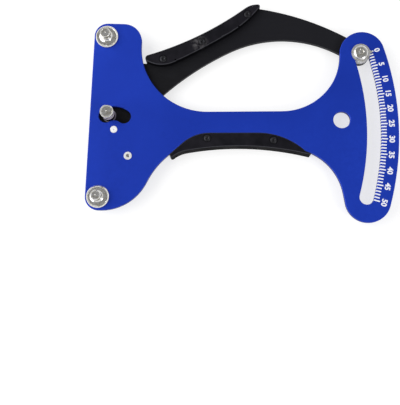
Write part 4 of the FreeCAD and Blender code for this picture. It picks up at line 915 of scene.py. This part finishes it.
# Floor and lamps: metres and watts, the lamps' places from the middle of the tool's footprint
FLOOR_SIZE = 6.0
FLOOR_TONE = 0.42
FLOOR_LIFT = 0.66
KEY_PLACE = (-0.85, 0.06, 0.65)
KEY_SIZE = (1.6, 1.0)
KEY_POWER = 10.0
FILL_PLACE = (0.60, -0.45, 0.60)
FILL_SIZE = (0.35, 0.35)
FILL_POWER = 2.2

# Greys of the sky, and the heights of a ray's direction between which its wall turns grey
SKY_LOW = 0.12
SKY_HIGH = 0.72
OVERHEAD_GREY = 0.31
HORIZON_BAND = 0.25
OVERHEAD_FROM = 0.75

# Camera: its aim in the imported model's frame, its distance from there and its turn in degrees
CAMERA_AIM = Vector((-27.05, -65.68, 11.0)) * MM
CAMERA_DISTANCE = 424.26 * MM
CAMERA_TURN = (7.170, 1.869, 2.222)
CAMERA_CLIP = 10.0 * MM
LENS = 56.44


def seen_directly(tree):
    """1 for rays from the camera or out of a mirror or glass, 0 for light on a surface."""
    path = tree.nodes.new("ShaderNodeLightPath")
    seen = path.outputs["Is Camera Ray"]
    for ray in ("Is Glossy Ray", "Is Transmission Ray"):
        either = tree.nodes.new("ShaderNodeMath")
        either.operation = "MAXIMUM"
        tree.links.new(seen, either.inputs[0])
        tree.links.new(path.outputs[ray], either.inputs[1])
        seen = either.outputs[0]
    return seen


def make_floor():
    """Pale floor that catches the shadows; seen directly it is lifted to white."""
    size = FLOOR_SIZE / 2
    mesh = bpy.data.meshes.new("floor")
    corners = [(-size, -size, 0), (size, -size, 0), (size, size, 0), (-size, size, 0)]
    mesh.from_pydata(corners, [], [(0, 1, 2, 3)])
    floor = add_object("floor", mesh)
    material = bpy.data.materials.new("floor_white")
    material.use_nodes = True
    tree = material.node_tree
    tree.nodes.clear()
    output = tree.nodes.new("ShaderNodeOutputMaterial")
    paper = tree.nodes.new("ShaderNodeBsdfDiffuse")
    paper.inputs["Color"].default_value = (FLOOR_TONE, FLOOR_TONE, FLOOR_TONE, 1.0)
    glow = tree.nodes.new("ShaderNodeEmission")
    lift = tree.nodes.new("ShaderNodeMath")
    lift.operation = "MULTIPLY"
    lift.inputs[1].default_value = FLOOR_LIFT
    tree.links.new(seen_directly(tree), lift.inputs[0])
    tree.links.new(lift.outputs[0], glow.inputs["Strength"])
    both = tree.nodes.new("ShaderNodeAddShader")
    tree.links.new(paper.outputs[0], both.inputs[0])
    tree.links.new(glow.outputs[0], both.inputs[1])
    tree.links.new(both.outputs[0], output.inputs["Surface"])
    mesh.materials.append(material)


def make_lamp(name, place, size, power):
    """A soft lamp, wide and high as size says, that faces the middle of the tool."""
    light = bpy.data.lights.new(name, "AREA")
    light.shape = "ELLIPSE"
    light.size, light.size_y = size
    light.energy = power
    lamp = add_object(name, light)
    lamp.location = place
    lamp.rotation_euler = Vector(place).to_track_quat("Z", "Y").to_euler()


def make_world():
    """Soft light, mostly from above; seen directly, a white studio wall, grey overhead."""
    world = bpy.data.worlds.new("studio")
    bpy.context.scene.world = world
    world.use_nodes = True
    tree = world.node_tree
    tree.nodes.clear()
    output = tree.nodes.new("ShaderNodeOutputWorld")
    direction = tree.nodes.new("ShaderNodeTexCoord")
    split = tree.nodes.new("ShaderNodeSeparateXYZ")
    tree.links.new(direction.outputs["Generated"], split.inputs[0])

    def background(low, high, level_low, level_high):
        """A grey that changes with the height of the ray's direction."""
        grey = tree.nodes.new("ShaderNodeMapRange")
        grey.inputs["From Min"].default_value = low
        grey.inputs["From Max"].default_value = high
        grey.inputs["To Min"].default_value = level_low
        grey.inputs["To Max"].default_value = level_high
        tree.links.new(split.outputs["Z"], grey.inputs["Value"])
        sky = tree.nodes.new("ShaderNodeBackground")
        tree.links.new(grey.outputs["Result"], sky.inputs["Color"])
        return sky

    soft = background(0.0, 1.0, SKY_LOW, SKY_HIGH)
    wall = background(HORIZON_BAND, OVERHEAD_FROM, 1.0, OVERHEAD_GREY)
    choice = tree.nodes.new("ShaderNodeMixShader")
    tree.links.new(seen_directly(tree), choice.inputs[0])
    tree.links.new(soft.outputs[0], choice.inputs[1])
    tree.links.new(wall.outputs[0], choice.inputs[2])
    tree.links.new(choice.outputs[0], output.inputs["Surface"])


def make_camera():
    """The camera of the photograph, as found by comparing outlines."""
    camera = bpy.data.cameras.new("camera")
    camera.lens = LENS
    camera.clip_start = CAMERA_CLIP
    holder = add_object("camera", camera)
    turn = Euler([math.radians(angle) for angle in CAMERA_TURN])
    back = turn.to_matrix() @ Vector((0, 0, 1))
    holder.location = CAMERA_AIM + back * CAMERA_DISTANCE
    holder.rotation_euler = turn
    bpy.context.scene.camera = holder


make_floor()
make_world()
make_lamp("key", KEY_PLACE, KEY_SIZE, KEY_POWER)
make_lamp("fill", FILL_PLACE, FILL_SIZE, FILL_POWER)
make_camera()
bpy.context.scene.view_settings.view_transform = "Standard"
